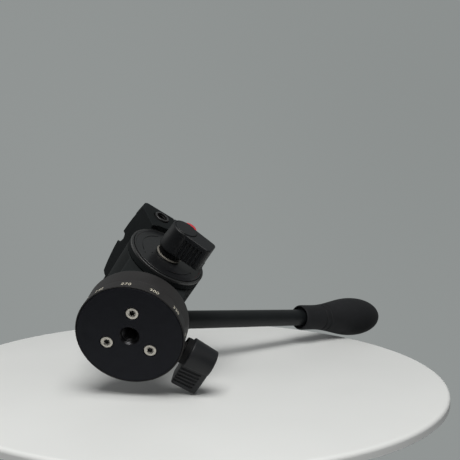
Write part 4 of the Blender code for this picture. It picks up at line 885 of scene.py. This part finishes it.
def make_housing():
    """The casting that is the turning ring, the neck and the tilt drum."""
    band = [(0, HOUSING_FOOT), (HOUSING_RADIUS, HOUSING_FOOT), (HOUSING_RADIUS, HOUSING_BAND_TOP)]
    for step in range(1, 7):
        turn = step / 6 * QUARTER
        band.append((SHOULDER_RADIUS + (HOUSING_RADIUS - SHOULDER_RADIUS) * cos(turn),
                     HOUSING_BAND_TOP + (SHOULDER_TOP - HOUSING_BAND_TOP) * sin(turn)))
    band += [(NECK_RADIUS, NECK_TOP), (0, NECK_TOP)]
    housing = solid("pan_casting", lathe(band, FINE))
    start = asin(DRUM_FLANK / DRUM_RADIUS) - QUARTER
    outline = [(TILT.y + DRUM_FOOT_HALF, DRUM_FOOT)]
    outline += arc(DRUM_RADIUS, start, pi - start, 96, (TILT.y, TILT.z))
    outline.append((TILT.y - DRUM_FOOT_HALF, DRUM_FOOT))
    join(housing, prism(outline, -DRUM_LEFT, DRUM_RIGHT, ALONG_X))
    knob_line = (0, 0, PAN_KNOB_HEIGHT)
    join(housing, moved(rod(PAN_BOSS_RADIUS, PAN_BOSS_START, PAN_BOSS_END, SMALL, PAN_OUT), knob_line))
    cut(housing, lathe(stepped(HOUSING_FOOT - OVER, *HOUSING_INSIDE)))
    drill(housing, DRUM_BORE, -DRUM_LEFT - OVER, DRUM_RIGHT + OVER, TILT.yz, MEDIUM)
    cut(housing, moved(rod(STUD_HOLE, PAN_STUD_START, PAN_BOSS_END + OVER, SMALL, PAN_OUT), knob_line))
    soften(housing, 0.00038, 4, 0.35)
    dress(housing, "cast", "pan", "pan_housing")
    # Painted shade: the drum part of the casting takes a darker coating
    paint(housing, "drum", on_drum)


def on_drum(spot):
    """Whether a spot of the housing is above the turning ring and outside the neck's cone, where the drum's
    darker coating paints shade.
    """
    over_cone = SHOULDER_TOP + (HOUSING_RADIUS - off_axis(spot)) * 1.1
    return spot.z > NECK_TOP or (
        spot.z > max(SHOULDER_TOP + 0.0008, over_cone) and off_axis(spot) > NECK_RADIUS + 0.0006)


def make_index_mark():
    """The index line on the turning ring, on the lens side."""
    half = 0.00022 / HOUSING_RADIUS
    corners = box(-half, half, -0.0001, 0.00002)
    outline = [polar(HOUSING_RADIUS + out, QUARTER + side) for side, out in corners]
    dress(solid("index_line", prism(outline, 0.0088, 0.0122)), "cream", "pan")


# Winged knobs

def flute_bar(low, high):
    """A bar with round ends."""
    start = arc(FLUTE_RADIUS, -QUARTER, 0, 6, (0, low + FLUTE_RADIUS))
    end = arc(FLUTE_RADIUS, 0, QUARTER, 6, (0, high - FLUTE_RADIUS))
    return lathe([(0, low)] + start[1:] + end[:-1] + [(0, high)], 20)


def drafted(item):
    """Let a knob taper from its foot to its face, as it leaves its mould."""
    for vertex in item.data.vertices:
        share = (vertex.co.z - KNOB_FOOT) / (KNOB_LENGTH - KNOB_FOOT)
        scale = KNOB_FOOT_SCALE + (KNOB_FACE_SCALE - KNOB_FOOT_SCALE) * min(1, max(0, share))
        held = min(1, max(0, (vertex.co.x - HUB / 2) / (REACH - HUB)))
        scale += (1 - scale) * held
        vertex.co.x *= scale
        vertex.co.y *= scale
    return item


def make_winged_knob(name, place, body, node):
    """A round hub with a tapering grip wing, grip flutes on both sides and a flat disc on its face."""
    across = TIP_HALF - TIP_CORNER
    tip = REACH - TIP_CORNER
    outline = arc(HUB, HUB_OPEN, tau - HUB_OPEN, 56)
    outline += arc(TIP_CORNER, -QUARTER, 0, 10, (tip, -across))
    outline += arc(TIP_CORNER, 0, QUARTER, 10, (tip, across))
    knob = solid(name, prism(outline, KNOB_FOOT, KNOB_LENGTH), place)
    bevel(knob, 0.0009, 4, 50)
    join(knob, rod(COLLAR, 0, KNOB_FOOT + 0.001))
    shift = (KNOB_DISC_SHIFT, 0, 0)
    cut(knob, moved(ring(KNOB_DISC, KNOB_DISC + 0.0005, KNOB_LENGTH - 0.0005, KNOB_LENGTH + OVER), shift))
    join(knob, moved(rod(KNOB_DISC, KNOB_LENGTH - 0.001, KNOB_LENGTH + 0.0003, MEDIUM, edge=0.00025), shift))
    root = Vector(polar(HUB, -HUB_OPEN))
    end = Vector((tip, -TIP_HALF))
    outward = Vector((root.y - end.y, end.x - root.x)).normalized()
    for side in (1, -1):
        bars = []
        for index in range(FLUTES):
            spot = root.lerp(end, FLUTE_FIRST + FLUTE_RUN * index / (FLUTES - 1)) + outward * 0.0001
            bar = flute_bar(KNOB_FOOT - OVER, KNOB_LENGTH - FLUTE_STOP)
            bars.append(moved(bar, (spot.x, spot.y * side, 0)))
        cut(knob, merged(*bars))
    join(knob, ring(SKIRT_BORE, COLLAR, -SKIRT, KNOB_FOOT, SMALL))
    cut(knob, rod(STUD_HOLE, -OVER, KNOB_BORE_END))
    soften(drafted(knob), 0.00020, 2, 0.4)
    dress(knob, "plastic", body, node)
    # Painted shade: the collar and skirt, in the gap under the knob, are painted near black
    paint(knob, "painted_shade", lambda spot: spot.z < KNOB_FOOT - 0.0002)


def make_winged_knobs():
    make_winged_knob("pan_wing_knob", PAN_KNOB, "pan_knob", "pan_lock_knob")
    make_winged_knob("tilt_wing_knob", TILT_KNOB, "tilt_knob", "tilt_lock_knob")


# Tilt bracket

def bowed_plan():
    """The block from above: a bowed front with small round corners, and a rear beyond the block's own."""
    rise = FRONT_CENTRE - FRONT_CORNER
    bow = (BLOCK_HALF ** 2 + rise ** 2) / (2 * rise)
    spread = asin((BLOCK_HALF - 0.0009) / bow)
    edge = arc(bow, QUARTER - spread, QUARTER + spread, 40, (0, FRONT_CENTRE - bow))
    plan = box(-BLOCK_HALF, BLOCK_HALF, -REAR * 2, edge[0][1] - BLOCK_CORNER)
    plan[3:3] = edge
    radii = [0] * len(plan)
    radii[2] = radii[-1] = 0.0020
    return fillet(plan, radii)


def make_bracket():
    """The block that carries the clamp, with the left ear as part of it."""
    front = FRONT_CENTRE + OVER
    far = BLOCK_HALF + OVER
    over = BLOCK_TOP + OVER
    beyond = DRUM_RADIUS * 2
    side_view = [
        (front, BLOCK_TOP), (-REAR, BLOCK_TOP), (-REAR, REAR_FOOT),
        polar(DRUM_RADIUS, radians(160)), (0, 0), (0.0147, 0.0148),
        (front - BLOCK_LIP * 0.35, BLOCK_TOP - BLOCK_LIP), (front, BLOCK_TOP - BLOCK_LIP)]
    block = solid("tilt_block", prism(side_view, -BLOCK_HALF, BLOCK_HALF, ALONG_X), AT_TILT)
    combine(block, prism(bowed_plan(), -DRUM_RADIUS, over), "INTERSECT")
    drill(block, DRUM_RADIUS + 0.0010, -EAR_INNER, far, segments=FINE)
    drill(block, DRUM_RADIUS + GAP, -far, -EAR_OUTER, segments=FINE)
    drill(block, DRUM_RADIUS - EAR_LIP / 2, -EAR_OUTER - OVER, -EAR_INNER + OVER, segments=FINE)
    half, top = TAB_ROOM_HALF, TAB_ROOM_TOP
    room = [(half, -DRUM_RADIUS), (half, top), (-half, top), (-half, REAR_FOOT), (-beyond, REAR_FOOT),
            (-beyond, -DRUM_RADIUS)]
    cut(block, prism(room, TAB_ROOM_LEFT, far, ALONG_X))
    neck = CHANNEL_UNDERCUT - CHANNEL_HALF
    channel = [(-CHANNEL_HALF, CHANNEL_FLOOR), (far, CHANNEL_FLOOR), (far, over), (neck, over),
               (neck, CHANNEL_FLOOR + 0.0037), (-CHANNEL_HALF, CHANNEL_FLOOR + 0.0015)]
    cut(block, prism(channel, -beyond, beyond, ALONG_Y))
    notch = [(-NOTCH_HALF, front), (-NOTCH_HALF, NOTCH_SIDE), (0, NOTCH_MIDDLE), (NOTCH_HALF, NOTCH_SIDE),
             (NOTCH_HALF, front)]
    cut(block, prism(notch, BLOCK_TOP - BLOCK_LIP * 2, over))
    drill(block, POCKET_RADIUS, -far, -BLOCK_HALF + PORT_POCKET, PORT_SPOT)
    drill(block, POCKET_RADIUS, -far, -BLOCK_HALF + BUTTON_POCKET, BUTTON_SPOT)
    cut(block, moved(rod(0.0045, -0.0025, OVER), LEVEL_PLACE))
    drill(block, CLAMP_BORE, 0.0155, far, CLAMP_SPOT)
    for spot in EAR_SCREW_SPOTS:
        drill(block, STUD_HOLE, 0.0035, 0.0125, spot)
    lip = (DRUM_RADIUS, -EAR_OUTER - EAR_LIP_HEIGHT)
    ear = stepped(-EAR_INNER, lip, (DRUM_RADIUS - EAR_LIP, -EAR_OUTER), bore=AXLE_HOLE)
    join(block, lathe(ear, FINE, OUT_RIGHT))
    soften(block, 0.00036, 3, 0.35)
    cut(block, prism(RECESS, -far, -EAR_OUTER - 0.0006, ALONG_X))
    dress(block, "block", "tilt", "tilt_bracket")
    # Painted shade: the recess under the port is painted near black
    paint(block, "painted_shade", in_recess)


def in_recess(spot):
    """Whether a spot of the block is inside the recess under the port, where painted shade goes."""
    across = -BLOCK_HALF + 0.0008 < spot.x < -EAR_OUTER and 0.0022 < spot.y < 0.0148
    return across and hypot(spot.y, spot.z) > DRUM_RADIUS + 0.0001 and spot.z < 0.0250


def cap_spot(radius, angle):
    """A place on the left ear by its angle seen from -X, from +Y towards +Z, in the cap's own axes."""
    return (radius * sin(angle), radius * cos(angle))


def arc_groove(first, last, face):
    """A shallow arc to engrave in the cap, between two angles in degrees."""
    steps = 40
    angles = [radians(first + (last - first) * step / steps) for step in range(steps + 1)]
    outer = [cap_spot(CAP_ARC_RADIUS + CAP_ARC_HALF, angle) for angle in angles]
    inner = [cap_spot(CAP_ARC_RADIUS - CAP_ARC_HALF, angle) for angle in reversed(angles)]
    return prism(outer + inner, face - ENGRAVING, face + OVER)


def make_cap():
    """The cap on the left ear, with a raised rim, engraved arcs and two dots."""
    face = CAP_FACE - CAP_SINK
    profile = fillet(
        box(CAP_BORE, CAP_RADIUS, CAP_BACK, CAP_FACE)[:3] + [
            (CAP_RADIUS - 0.0010, CAP_FACE), (CAP_RADIUS - 0.0014, face), (CAP_BORE + 0.0010, face),
            (CAP_BORE + 0.0006, CAP_FACE), (CAP_BORE, CAP_FACE)],
        [0, 0.0002, 0.00025, 0.0001, 0.0001, 0.0001, 0.0001, 0.0002])
    cap = solid("ear_cap", lathe(profile, FINE), CAP_LINE)
    for first, last in CAP_ARCS:
        cut(cap, arc_groove(first, last, face))
    for radius, angle in CAP_DOTS:
        spot = cap_spot(radius, radians(angle))
        cut(cap, moved(rod(0.00045, face - ENGRAVING, face + OVER, 16), (*spot, 0)))
    dress(shade(cap), "cap", "tilt", "drum_cap")


def make_ear_rim():
    """The turned rim that stands up round the cap, in a coating lighter than the bracket's that paints a
    highlight on it.
    """
    inner, outer = DRUM_RADIUS - EAR_LIP - 0.00005, DRUM_RADIUS + 0.00006
    low, high = EAR_OUTER - 0.0002, EAR_OUTER + EAR_LIP_HEIGHT + 0.00006
    profile = fillet(box(inner, outer, low, high), [0, 0, 0.0004, 0.0002])
    piece("ear_rim", lathe(profile, FINE), CAP_LINE, "rim", "tilt", angle=50)


def make_washer():
    """The washer under the tilt lock, with its foot and its spigot."""
    profile = stepped(CAP_BACK, (0.0065, 0.0254), (0.0080, 0.0262), (0.0054, 0.0283), bore=0.0024)
    profile = fillet(profile, [0, 0, 0, 0.0001, 0.0001, 0.0001, 0.0002, 0])
    piece("lock_washer", lathe(profile), CAP_LINE, "washer", "tilt", "tilt_lock_washer")


def make_port():
    """The accessory port's collar with a 1/4 inch thread."""
    face = BLOCK_HALF + 0.0010
    deep = BLOCK_HALF - 0.0075
    thread, outer = 0.0033, 0.0048
    outside = [(0.0034, face - 0.0003), (0.0036, face), (0.0044, face), (0.0047, face - 0.0002),
               (outer, face - 0.0005), (outer, deep), (thread, deep)]
    shape = threaded(0.0028, thread, CAMERA_PITCH, deep + 0.0002, face - 0.0006, outside)
    place = from_tilt(0, *PORT_SPOT) @ OUT_LEFT
    # Painted highlight: the collar takes the rim's lighter coating
    port = piece("port_collar", shape, place, "rim", "tilt", "port_bush", angle=50)
    # Painted shade: the thread inside the collar is painted near black
    paint(port, "painted_shade", lambda spot: off_axis(spot) < 0.0034 and spot.z < face - 0.0004)


def make_button():
    """The red button, crowned, with the pin that its spring sits on."""
    side, pin, shoulder, end = 0.0048, 0.0018, -0.0034, -0.0051
    profile = [(0, 0.0045), (0.0024, 0.00445), (0.0040, 0.0040), (0.0047, 0.0033), (side, 0.0026),
               (side, shoulder), (pin, shoulder), (pin, end), (0, end)]
    place = from_tilt(-BLOCK_HALF, *BUTTON_SPOT) @ OUT_LEFT
    piece("release_button", lathe(profile), place, "red", "button", "safety_button", angle=40)


def make_level():
    """The spirit level's rim, its glass and the circle printed on the glass."""
    place = from_tilt(*LEVEL_PLACE)
    bottom = -0.0022
    rim = ring(0.0037, 0.0042, bottom, 0, SMALL, 0.0001)
    piece("level_rim", rim, place, "anodised", "tilt", "level_ring")
    glass = [(0, bottom), (0.0034, bottom), (0.0034, -0.0004), (0.0024, -0.0001), (0.0012, -0.00002), (0, 0)]
    piece("level_glass", lathe(glass, SMALL), place, "vial", "tilt", "level_vial")
    piece("level_circle", ring(0.00135, 0.00150, -0.0002, -0.00001, SMALL), place, "anodised", "tilt")


def make_side_plate():
    """The right ear with its tab and the lobe that carries the handle."""
    y, z = PIVOT.y - TILT.y, PIVOT.z - TILT.z
    reach = hypot(y, z)
    towards = atan2(z, y)
    spread = acos((DRUM_RADIUS ** 2 + reach ** 2 - EYE_RADIUS ** 2) / (2 * DRUM_RADIUS * reach))
    crossings = []
    for angle in (towards - spread, towards + spread):
        meet_y, meet_z = polar(DRUM_RADIUS, angle)
        crossings.append(atan2(meet_z - z, meet_y - y))
    lobe_start, lobe_end = crossings[0], crossings[1] % tau
    lean = acos(TAB_HALF / DRUM_RADIUS)
    outline = [(TAB_HALF, TAB_TOP), (-TAB_HALF, TAB_TOP)]
    outline += arc(DRUM_RADIUS, pi - lean, towards - spread, 10)
    outline += arc(EYE_RADIUS, lobe_start, lobe_end, 40, (y, z))[1:-1]
    outline += arc(DRUM_RADIUS, towards + spread, tau + lean, 110)
    plate = solid("right_ear", prism(outline, SIDE_INNER, SIDE_OUTER, ALONG_X), AT_TILT)
    bevel(plate, 0.0004, 3, 50)
    through = (SIDE_INNER - OVER, SIDE_OUTER + OVER)
    drill(plate, AXLE_HOLE, *through)
    drill(plate, EYE_BORE, *through, (y, z))
    for spot in EAR_SCREW_SPOTS:
        drill(plate, STUD_HOLE, *through, spot)
    dress(shade(plate), "ear", "tilt", "side_plate")


def make_ear_fasteners():
    """The two screws of the right ear and the cap on the axle's right end."""
    for number, spot in enumerate(EAR_SCREW_SPOTS, 1):
        place = from_tilt(EAR_SCREW_FACE, *spot) @ OUT_LEFT
        name = "ear_socket_screw_%d" % number
        make_screw(name, place, EAR_SCREW_LENGTH, "tilt", "side_plate_screw_%d" % number)
    dish = AXLE_CAP_FACE - 0.0004
    cap = box(0, AXLE_CAP_RADIUS, AXLE_CAP_BACK, AXLE_CAP_FACE)[:3]
    cap = fillet(cap + [(0.0102, AXLE_CAP_FACE), (0.0098, dish), (0, dish)],
                 [0, 0.0001, 0.0003, 0.0002, 0.0002, 0])
    piece("axle_end_cap", lathe(cap), AT_TILT @ OUT_RIGHT, "disc", "tilt", "axle_cap")


# Clamp and release plate

def make_jaw():
    """The moving jaw: a dovetail over the channel and a leg down the block's right side."""
    floor = CHANNEL_FLOOR + GAP
    leg = BLOCK_HALF + GAP
    outer = leg + JAW_THICKNESS
    foot = BLOCK_TOP - JAW_DROP
    neck = CHANNEL_HALF - CHANNEL_UNDERCUT
    outline = [(CHANNEL_HALF, floor), (leg, floor), (leg, foot), (outer, foot), (outer, BLOCK_TOP),
               (neck, BLOCK_TOP), (neck, floor + 0.0034), (CHANNEL_HALF, floor + 0.0012)]
    jaw = solid("moving_jaw", prism(outline, *JAW_ENDS, ALONG_Y), AT_TILT)
    bevel(jaw, 0.0004, 3, 30)
    drill(jaw, CLAMP_BORE, leg - OVER, outer + OVER, CLAMP_SPOT)
    dress(shade(jaw), "ear", "jaw", "clamp_jaw")


def make_waved_knob(name, place, radius, lobes, wave, points, height, dish, edge, bore, body, node):
    """A hand knob with a waved rim and a dished face. dish is (radius, depth)."""
    outline = []
    for step in range(points):
        angle = tau * step / points
        outline.append(polar(radius - wave * (1 - cos(lobes * angle)) / 2, angle))
    knob = solid(name, prism(outline, GAP, height), place)
    bevel(knob, edge, 4, 60)
    inner, depth = dish
    rim = inner + 0.0004
    cut(knob, lathe([(0, height - depth), (inner, height - depth), (rim, height), (rim, height + OVER),
                     (0, height + OVER)], SMALL))
    cut(knob, rod(bore, -OVER, 0.0066))
    dress(shade(knob, 40), "plastic", body, node)


def make_clamp_knob():
    place = from_tilt(CLAMP_KNOB_X, *CLAMP_SPOT) @ OUT_RIGHT
    make_waved_knob("fluted_knob", place, radius=0.0078, lobes=10, wave=0.0007, points=240, height=0.0128,
                    dish=(0.0048, 0.0006), edge=0.0008, bore=CLAMP_BORE, body="clamp_handwheel",
                    node="clamp_knob")


def oblong(middle, half, reach):
    return box(middle - half, middle + half, -reach, reach)


def make_release_plate():
    """The quick release plate and its two ribbed rubber pads."""
    place = from_tilt(0, 0, CHANNEL_FLOOR + GAP)
    right = [(PLATE_HALF, 0), (PLATE_HALF, 0.0012), (PLATE_NECK, 0.0034), (PLATE_NECK, 0.0046),
             (PLATE_HALF, 0.0057), (PLATE_HALF, PLATE_TOP)]
    outline = right + [(-x, z) for x, z in reversed(right)]
    plate = solid("quick_release_plate", prism(outline, -PLATE_REACH, PLATE_REACH, ALONG_Y), place)
    bevel(plate, 0.0005, 3, 30)
    cut(plate, rod(BOLT_ROOM, -OVER, BOLT_ROOM_TOP))
    cut(plate, rod(BOLT_BORE, -OVER, PLATE_TOP + OVER))
    for side, name in ((-1, "left"), (1, "right")):
        middle = side * PAD_MIDDLE
        pocket = fillet(oblong(middle, PAD_HALF + GAP, PAD_REACH + GAP), 0.0010)
        cut(plate, prism(pocket, PAD_FOOT - GAP, PLATE_TOP + OVER))
        outline = fillet(oblong(middle, PAD_HALF, PAD_REACH), 0.0009)
        pad = solid("ribbed_pad_" + name, prism(outline, PAD_FOOT, PAD_TOP), place)
        ribs = []
        for index in range(-PAD_RIBS, PAD_RIBS + 1):
            y = index * RIB_PITCH
            top = PAD_TOP + 0.00015
            groove = [(y - RIB_HALF, top), (y + RIB_HALF, top), (y, top - 0.0005)]
            ribs.append(prism(groove, middle - 0.006, middle + 0.006, ALONG_X))
        cut(pad, merged(*ribs))
        dress(shade(pad), "rubber", "plate", "plate_pad_" + name)
    dress(shade(plate), "anodised", "plate", "release_plate")


def make_camera_screw():
    """The 1/4 inch camera screw with its slotted head under the plate."""
    core, edge, slot = 0.0026, 0.0002, 0.0007
    ends = [(0.0022, BOLT_TOP), (0, BOLT_TOP), (0, GAP), (BOLT_HEAD - edge, GAP), (BOLT_HEAD, GAP + edge),
            (BOLT_HEAD, BOLT_HEAD_TOP - edge), (BOLT_HEAD - edge, BOLT_HEAD_TOP), (core, BOLT_HEAD_TOP)]
    shape = threaded(0.0030, core, CAMERA_PITCH, 0.0060, BOLT_TOP - 0.0004, ends)
    screw = solid("camera_thread_screw", shape, from_tilt(0, 0, CHANNEL_FLOOR + GAP))
    cut(screw, prism(oblong(0, slot, 0.008), -OVER, 0.0013))
    dress(shade(screw, 50), "steel", "camera_bolt", "camera_screw")


# Handle

def make_handle_eye():
    eye = solid("pivot_eye", rod(EYE_RADIUS, -EYE_HALF, EYE_HALF, MEDIUM, edge=0.0006), HANDLE @ OUT_RIGHT)
    cut(eye, rod(EYE_BORE, -EYE_HALF - OVER, EYE_HALF + OVER))
    tube_line = OUT_RIGHT.inverted() @ TUBE_TURN @ OUT_BACK
    cut(eye, rod(TUBE_SPIGOT + GAP, 0.0039, EYE_RADIUS + OVER, SMALL, tube_line))
    dress(shade(eye), "anodised", "handle", "handle_eye")


def make_tube():
    """The tube, saddled to the eye, with the spigot that goes into it."""
    end = GRIP_START + TUBE_IN_GRIP
    tube = solid("drawn_tube", rod(TUBE_RADIUS, EYE_RADIUS / 2, end, MEDIUM), HANDLE_LINE)
    eye_line = (TUBE_TURN @ OUT_BACK).inverted() @ OUT_RIGHT
    cut(tube, rod(EYE_RADIUS + GAP, -EYE_HALF * 2, EYE_HALF * 2, MEDIUM, eye_line))
    join(tube, rod(TUBE_SPIGOT, 0.0042, EYE_RADIUS + TUBE_RADIUS))
    dress(shade(tube), "tube", "handle", "handle_tube")


def grip_radius(place):
    """The grip's outer radius without its grooves: a neck, then an egg-shaped bulb."""
    if place <= GRIP_NECK_END:
        return GRIP_NECK
    if place <= GRIP_BULB_AT:
        share = (place - GRIP_NECK_END) / (GRIP_BULB_AT - GRIP_NECK_END)
        return GRIP_NECK + (GRIP_BULB - GRIP_NECK) * (1 - cos(pi * share ** 1.08)) / 2
    share = (place - GRIP_BULB_AT) / (GRIP_LENGTH - GRIP_BULB_AT)
    return GRIP_BULB * sqrt(max(0, 1 - share ** 2.1))


def make_grip():
    """The rubber grip: a hollow mouth, two ring grooves and a bulb with a seam near its end."""
    outer = []
    steps = 150
    for step in range(steps + 1):
        place = GRIP_MOUTH + (GRIP_LENGTH - GRIP_MOUTH) * (1 - (1 - step / steps) ** 1.5)
        if any(abs(place - middle) < half for middle, half, depth in GRIP_GROOVES):
            continue
        lead = max(0, 1 - (place - GRIP_MOUTH) / GRIP_LEAD)
        outer.append((grip_radius(place) - GRIP_LEAD_DEPTH * lead ** 2, place))
    for middle, half, depth in GRIP_GROOVES:
        for step in range(-6, 7):
            place = middle + half * step / 6
            outer.append((grip_radius(place) - depth * (1 - (step / 6) ** 2), place))
    outer.sort(key=lambda point: point[1])
    outer[-1] = (0, GRIP_LENGTH)
    bore, mouth = TUBE_RADIUS + GAP, GRIP_MOUTH_RADIUS
    inside = [(0, GRIP_BORE_END), (bore, GRIP_BORE_END), (bore, 0.0062), (mouth - 0.0005, 0.0058),
              (mouth, 0.0048), (mouth, GRIP_MOUTH + 0.0004), (mouth + 0.0002, GRIP_MOUTH)]
    profile = [(radius, place + GRIP_START) for radius, place in inside + outer]
    shape = lathe(profile, MEDIUM, HANDLE_LINE)
    piece("bulb_grip", shape, IDENTITY, "rubber", "handle", "handle_grip", angle=50)


def make_handle_knob():
    place = HANDLE @ Matrix.Translation((EYE_HALF, 0, 0)) @ OUT_RIGHT
    make_waved_knob("lobed_knob", place, radius=0.0090, lobes=6, wave=0.0014, points=288, height=0.0125,
                    dish=(0.0050, 0.0005), edge=0.0009, bore=0.0033, body="handle_handwheel",
                    node="handle_knob")


# CAD nodes that stay

def dress_inner_nodes():
    steel = ("pan_spindle", "spindle_nut", "pan_bearing", "tilt_axle", "pan_lock_stud", "tilt_lock_stud",
             "counterbalance_spring", "clamp_screw", "handle_stud")
    brass = ("pan_drag_ring", "tilt_bushing_left", "tilt_bushing_right", "tilt_rotor")
    for names, finish in ((steel, "steel"), (brass, "brass"), (("tilt_drag_cup",), "dark_steel"),
                          (("pan_lock_shoe",), "nylon")):
        for name in names:
            cover(nodes[name], finish)


# Stage

def camera_axes():
    """The photograph's right, down and away, in the row frame."""
    return [Vector((-row[0], -row[1], row[2])).normalized() for row in CAMERA_ROWS]


def make_camera():
    right, down, away = camera_axes()
    placement = Matrix((right, -down, -away)).transposed().to_4x4()
    placement.translation = -(right * CAMERA_SHIFT[0] + down * CAMERA_SHIFT[1] + away * CAMERA_SHIFT[2])
    lens = bpy.data.cameras.new("photo_view")
    configured(lens, sensor_width=SENSOR, lens=FOCAL_PIXELS / FRAME_PIXELS * SENSOR, clip_start=0.01,
               clip_end=20)
    bpy.context.scene.camera = link_object("photo_view", lens, placement)


def make_table():
    turn = TABLE_NORMAL.to_track_quat("Z", "Y").to_matrix().to_4x4()
    turn.translation = TABLE_CENTRE
    edge = arc(TABLE_EDGE, QUARTER, 0, 8, (TABLE_RADIUS - TABLE_EDGE, -TABLE_EDGE))
    table = solid("turntable", lathe([(0, 0)] + edge + [(TABLE_RADIUS, -TABLE_THICKNESS)], 256), turn)
    if max(table.data.polygons, key=lambda face: face.area).normal.z < 0:
        table.data.flip_normals()
    cover(shade(table, 40), "table")


def make_world():
    """A dim room for the light, a pale backdrop for the camera, and a room with one pale wall for gloss."""
    world = bpy.data.worlds.new("studio")
    scene.world = world
    sky = Nodes(world)
    sky.place = sky.coordinates["Generated"]
    away = camera_axes()[2]
    towards = sky.node("VectorMath", {0: sky.place, 1: away}, operation="DOT_PRODUCT")["Value"]
    bright = sky.spread(towards, *WALL_STRENGTHS, -0.3, 0.5)
    mirrored = sky.node("Background", {"Color": WALL_COLOUR, "Strength": bright})[0]
    seen = sky.node("Background", {"Color": sky.blend(sky.noise(1.3, 0), *BACKDROP)})[0]
    background = sky.tree.nodes["Background"]
    sky.feed(background, "Color", ROOM_COLOUR)
    sky.feed(background, "Strength", ROOM_STRENGTH)
    surface = background.outputs[0]
    rays = sky.node("LightPath", {})
    for ray, source in (("Is Glossy Ray", mirrored), ("Is Camera Ray", seen)):
        surface = sky.mix(rays[ray], surface, source)
    sky.feed(sky.tree.nodes["World Output"], "Surface", surface)


def make_lamps():
    """Soft lamps, each given as its name, its offset from where it aims, its width and its watts."""
    right, down, away = camera_axes()
    lamps = (
        ("side_light", Vector((0.70, -0.16, 0.52)), 0.7, 9.0),
        ("top_light", TABLE_NORMAL * 0.84 - away * 0.55 + right * 0.02, 0.65, 10.6),
        ("left_light", -right * 0.8 - down * 0.35 + away * 0.2, 0.6, 0.7))
    for name, offset, width, watts in lamps:
        lamp = bpy.data.lights.new(name, "AREA")
        configured(lamp, size=width, energy=watts, color=LAMP_COLOUR)
        place = offset.to_track_quat("Z", "Y").to_matrix().to_4x4()
        place.translation = LAMP_AIM + offset
        link_object(name, lamp, place).visible_glossy = name != "side_light"


for make in (
        make_base_plate, make_base_screws, make_thread_bush, make_degree_ring, make_housing, make_index_mark,
        make_winged_knobs, make_bracket, make_cap, make_ear_rim, make_washer, make_port,
        make_button, make_level, make_side_plate, make_ear_fasteners, make_jaw, make_clamp_knob,
        make_release_plate, make_camera_screw, make_handle_eye, make_tube, make_grip, make_handle_knob,
        dress_inner_nodes, make_camera, make_table, make_world, make_lamps):
    make()
scene.view_settings.view_transform = "Standard"
